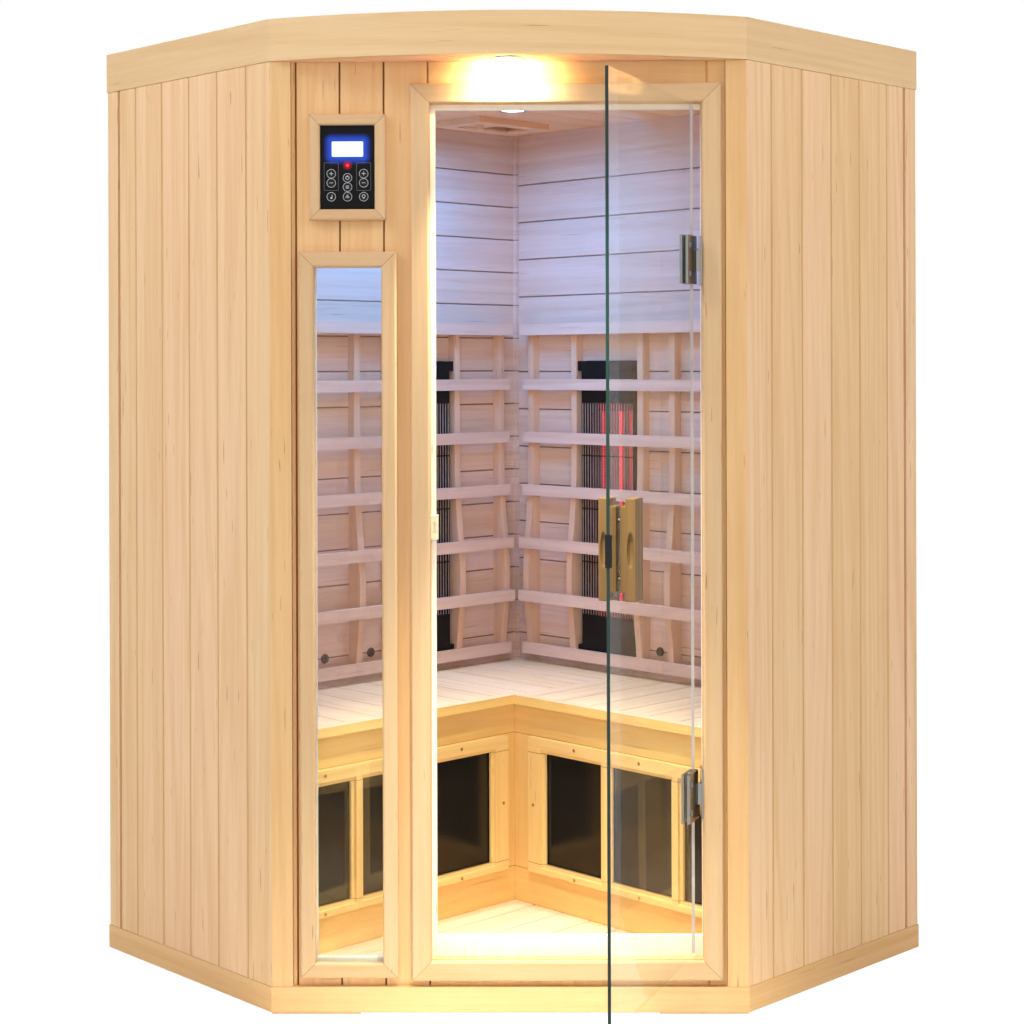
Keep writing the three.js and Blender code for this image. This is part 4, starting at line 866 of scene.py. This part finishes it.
# Printed rings, frames and signs, white and faint, that also glow a little: painted light on the print
white_print_glow = glow("white_print_glow", colour(226, 228, 232), 0.24, colour(176, 178, 182))
faint_print_glow = glow("faint_print_glow", colour(150, 150, 156), 0.12, colour(96, 96, 100))
paint(panel_black(), "control_faceplate")
piece("display", lambda shape: rounded(shape, *DISPLAY, DISPLAY_CORNER, *DISPLAY_DEPTHS),
      glow("display_light", colour(214, 232, 255), 1.0, colour(150, 180, 220)), "cabin")
piece("status_lamp",
      lambda shape: lathe(shape, LAMP_BEAD, (PLATE_X, PLATE_Y - PRINT_SINK, LAMP_Z), FORWARD, 16),
      glow("status_red", colour(255, 40, 50), 2.5, colour(200, 20, 24)), "cabin")
piece("key_rings", key_rings, white_print_glow, "cabin")
piece("key_frames", column_frames, faint_print_glow, "cabin")

# Signs on the keys, from each key's middle: bars are (x, z, width, depth, height), rings are
# (x, z, radius, width) and dots are (x, z, radius)
LINE = 0.0009
MINUS = {"bars": [(0, 0, 0.007, PRINT, LINE)]}
PLUS = {"bars": [(0, 0, 0.007, PRINT, LINE), (0, 0, LINE, 0.0004, 0.007)]}
TRIO = [math.radians(90 + 120 * step) for step in range(3)]
SIGNS = {
    "key_temperature_up": PLUS,
    "key_temperature_down": MINUS,
    "key_time_up": PLUS,
    "key_time_down": MINUS,
    "key_power": {"rings": [(0, 0, 0.0028, LINE)], "bars": [(0, 0.0032, LINE, 0.0005, 0.0034)]},
    "key_lamp": {"rings": [(0, 0.001, 0.0024, LINE)], "bars": [(0, -0.0034, 0.003, PRINT, LINE)]},
    "key_sound": {"bars": [(0.0016, 0.0006, LINE, PRINT, 0.0062)], "dots": [(0.0002, -0.0024, 0.0017)]},
    "key_preset": {"bars": [(0, rise, 0.0062, PRINT, LINE) for rise in (-0.0022, 0.0, 0.0022)]},
    "key_colour_light": {
        "rings": [(0.002 * math.cos(angle), 0.002 * math.sin(angle), 0.0011, 0.0006) for angle in TRIO],
    },
}


def key_sign(name):
    low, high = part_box(name)
    middle_x, middle_z, face = (low.x + high.x) / 2, (low.z + high.z) / 2, low.y
    sign = SIGNS[name]

    def build(shape):
        for x, z, radius, width in sign.get("rings", ()):
            ring_print(shape, middle_x + x, middle_z + z, radius, width, face + PRINT_SINK)
        for x, z, *size in sign.get("bars", ()):
            bar(shape, (middle_x + x, face, middle_z + z), size)
        for x, z, radius in sign.get("dots", ()):
            profile = [(0, PRINT), (radius, PRINT), (radius, 0.0), (0, 0.0)]
            lathe(shape, profile, (middle_x + x, face + PRINT_SINK, middle_z + z), FORWARD, 16)
    return build


for name in KEYS:
    piece("sign_" + name.removeprefix("key_"), key_sign(name), white_print_glow, name)

# Socket heads on the outer and inner plates of the hinge clamps
SOCKET_HEAD = [(0, -0.0002), (0.0026, -0.0002), (0.003, 0.0014), (0.0052, 0.0014), (0.006, 0.0006),
               (0.006, 0), (0, -0.0006)]
HINGE_HEIGHTS = {"upper": 1.437, "lower": 0.418}
CLAMP_REACH = 0.044
CLAMP_FACE = 0.0083
CLAMP_RISE = 0.027
hinge_screw = metal("hinge_screw_steel", colour(150, 154, 160), 0.3, EVEN)


def clamp_screws(height):
    def build(shape):
        for face in (-1, 1):
            for rise in (-CLAMP_RISE, CLAMP_RISE):
                place = HINGE_AXIS + DOOR_TURN @ Vector((-CLAMP_REACH, face * CLAMP_FACE, height + rise))
                lathe(shape, SOCKET_HEAD, place, DOOR_TURN @ Vector((0, face, 0)), 18)
    return build


for level, height in HINGE_HEIGHTS.items():
    piece(f"clamp_screws_{level}", clamp_screws(height), hinge_screw, "door")

# Floor and backdrop
WHITE = (1.0, 1.0, 1.0, 1.0)
FLOOR_TONES = ((0.93, 0.93, 0.93, 1.0), (0.95, 0.95, 0.95, 1.0))
FLOOR_REACH = 30
FLOOR_WHITE = 1.14
FLOOR_LIFT = 0.86
WORLD_LIGHT = 0.165


def floor_finish():
    """Matt pale floor, lifted to white where it is seen, with some of the shadow kept."""
    graph = Material("studio_floor")
    tone = graph.mix(graph.noise(graph.place(), scale=3.0, detail=2.0), *FLOOR_TONES)
    matt = graph.shader(Base_Color=tone, Roughness=0.9, Specular_IOR_Level=0.1)
    white = graph.add("Emission", {"Color": WHITE, "Strength": FLOOR_WHITE})
    lift = graph.times(graph.in_view(), FLOOR_LIFT)
    return graph.close(graph.add("MixShader", {0: lift, 1: matt.outputs[0], 2: white.outputs[0]}))


floor_mesh = bpy.data.meshes.new("studio_floor")
corners = [(x * FLOOR_REACH, y * FLOOR_REACH, 0) for x, y in ((-1, -1), (1, -1), (1, 1), (-1, 1))]
floor_mesh.from_pydata(corners, [], [(0, 1, 2, 3)])
floor_mesh.materials.append(floor_finish())
studio_floor = bpy.data.objects.new("studio_floor", floor_mesh)
scene.collection.objects.link(studio_floor)

world = bpy.data.worlds.new("studio")
world.use_nodes = True
scene.world = world
scene.view_settings.view_transform = "Standard"
sky = Graph(world.node_tree)
background = world.node_tree.nodes["Background"]
sky.feed(background.inputs["Color"], WHITE)
sky.feed(background.inputs["Strength"], sky.spread(sky.in_view(), (0.0, 1.0), (WORLD_LIGHT, 1.0)))


def lamp(name, kind, place, target, power, tint):
    """Adds a lamp that lights the scene and isn't seen itself."""
    light = bpy.data.lights.new(name, kind)
    light.energy = power
    light.color = tint
    made = bpy.data.objects.new(name, light)
    made.location = place
    made.rotation_euler = (Vector(target) - Vector(place)).to_track_quat("-Z", "Y").to_euler()
    made.visible_camera = False
    made.visible_glossy = False
    made.visible_transmission = False
    scene.collection.objects.link(made)
    return light


def area(name, place, target, power, tint, size):
    lamp(name, "AREA", place, target, power, tint).size = size


def spot(name, place, target, power, tint, degrees, radius):
    light = lamp(name, "SPOT", place, target, power, tint)
    light.spot_size = math.radians(degrees)
    light.spot_blend = 1.0
    light.shadow_soft_size = radius


# Studio lamps
area("key", (-2.9, -2.3, 3.7), (-0.6, -0.3, 1.3), 74, (1.0, 1.0, 1.0), size=1.6)
area("fill", (2.9, -2.3, 3.5), (0.6, -0.3, 1.3), 58, (1.0, 0.97, 0.94), size=1.6)
area("front", (0, -6.0, 2.0), (0, -0.6, 0.9), 100, (1.0, 0.98, 0.94), size=2.5)
area("rear", (0, 3.6, 3.0), (0, 0.4, 1.0), 150, (1.0, 0.99, 0.97), size=2.5)

# The cabin's own lamps, and light that its walls and floor throw back
spot("glare", (0, -0.716, 1.788), (0, -0.630, 1.768), 9.0, (1.0, 0.84, 0.52), degrees=126, radius=0.02)
spot("beam", (0, -0.664, 1.806), (0, -0.60, 0.0), 96, (1.0, 0.97, 0.76), degrees=66, radius=0.022)
spot("pool", (0.06, -1.35, 1.90), (0.06, -0.60, 0.03), 150, (1.0, 0.98, 0.72), degrees=36, radius=0.05)
spot("entry", (0.05, -0.60, 1.70), (0.0, -0.20, 0.06), 16, (1.0, 0.98, 0.72), degrees=36, radius=0.022)
area("bounce", (-0.16, -0.50, 1.0), (-0.62, -0.10, 0.95), 0.4, (1.0, 0.64, 0.34), size=0.25)
area("ceiling", (-0.17, -0.05, 1.79), (-0.17, -0.05, 0.0), 10.0, (0.07, 0.39, 1.0), size=0.5)
spot("downlight", (0, 0.02, 1.800), (0, -0.10, 0.0), 50, (0.92, 0.93, 0.96), degrees=54, radius=0.022)

# Camera, fitted to the photograph's frame
camera = bpy.data.cameras.new("camera")
camera.sensor_width = 36.0
camera.lens = 65.62
camera.shift_x = -0.0123
camera.shift_y = -0.1423
eye = bpy.data.objects.new("camera", camera)
eye.location = (0.0604, -4.1910, 1.2355)
eye.rotation_euler = (math.pi / 2, 0.0029, 0.0083)
scene.collection.objects.link(eye)
scene.camera = eye

bpy.context.view_layer.update()
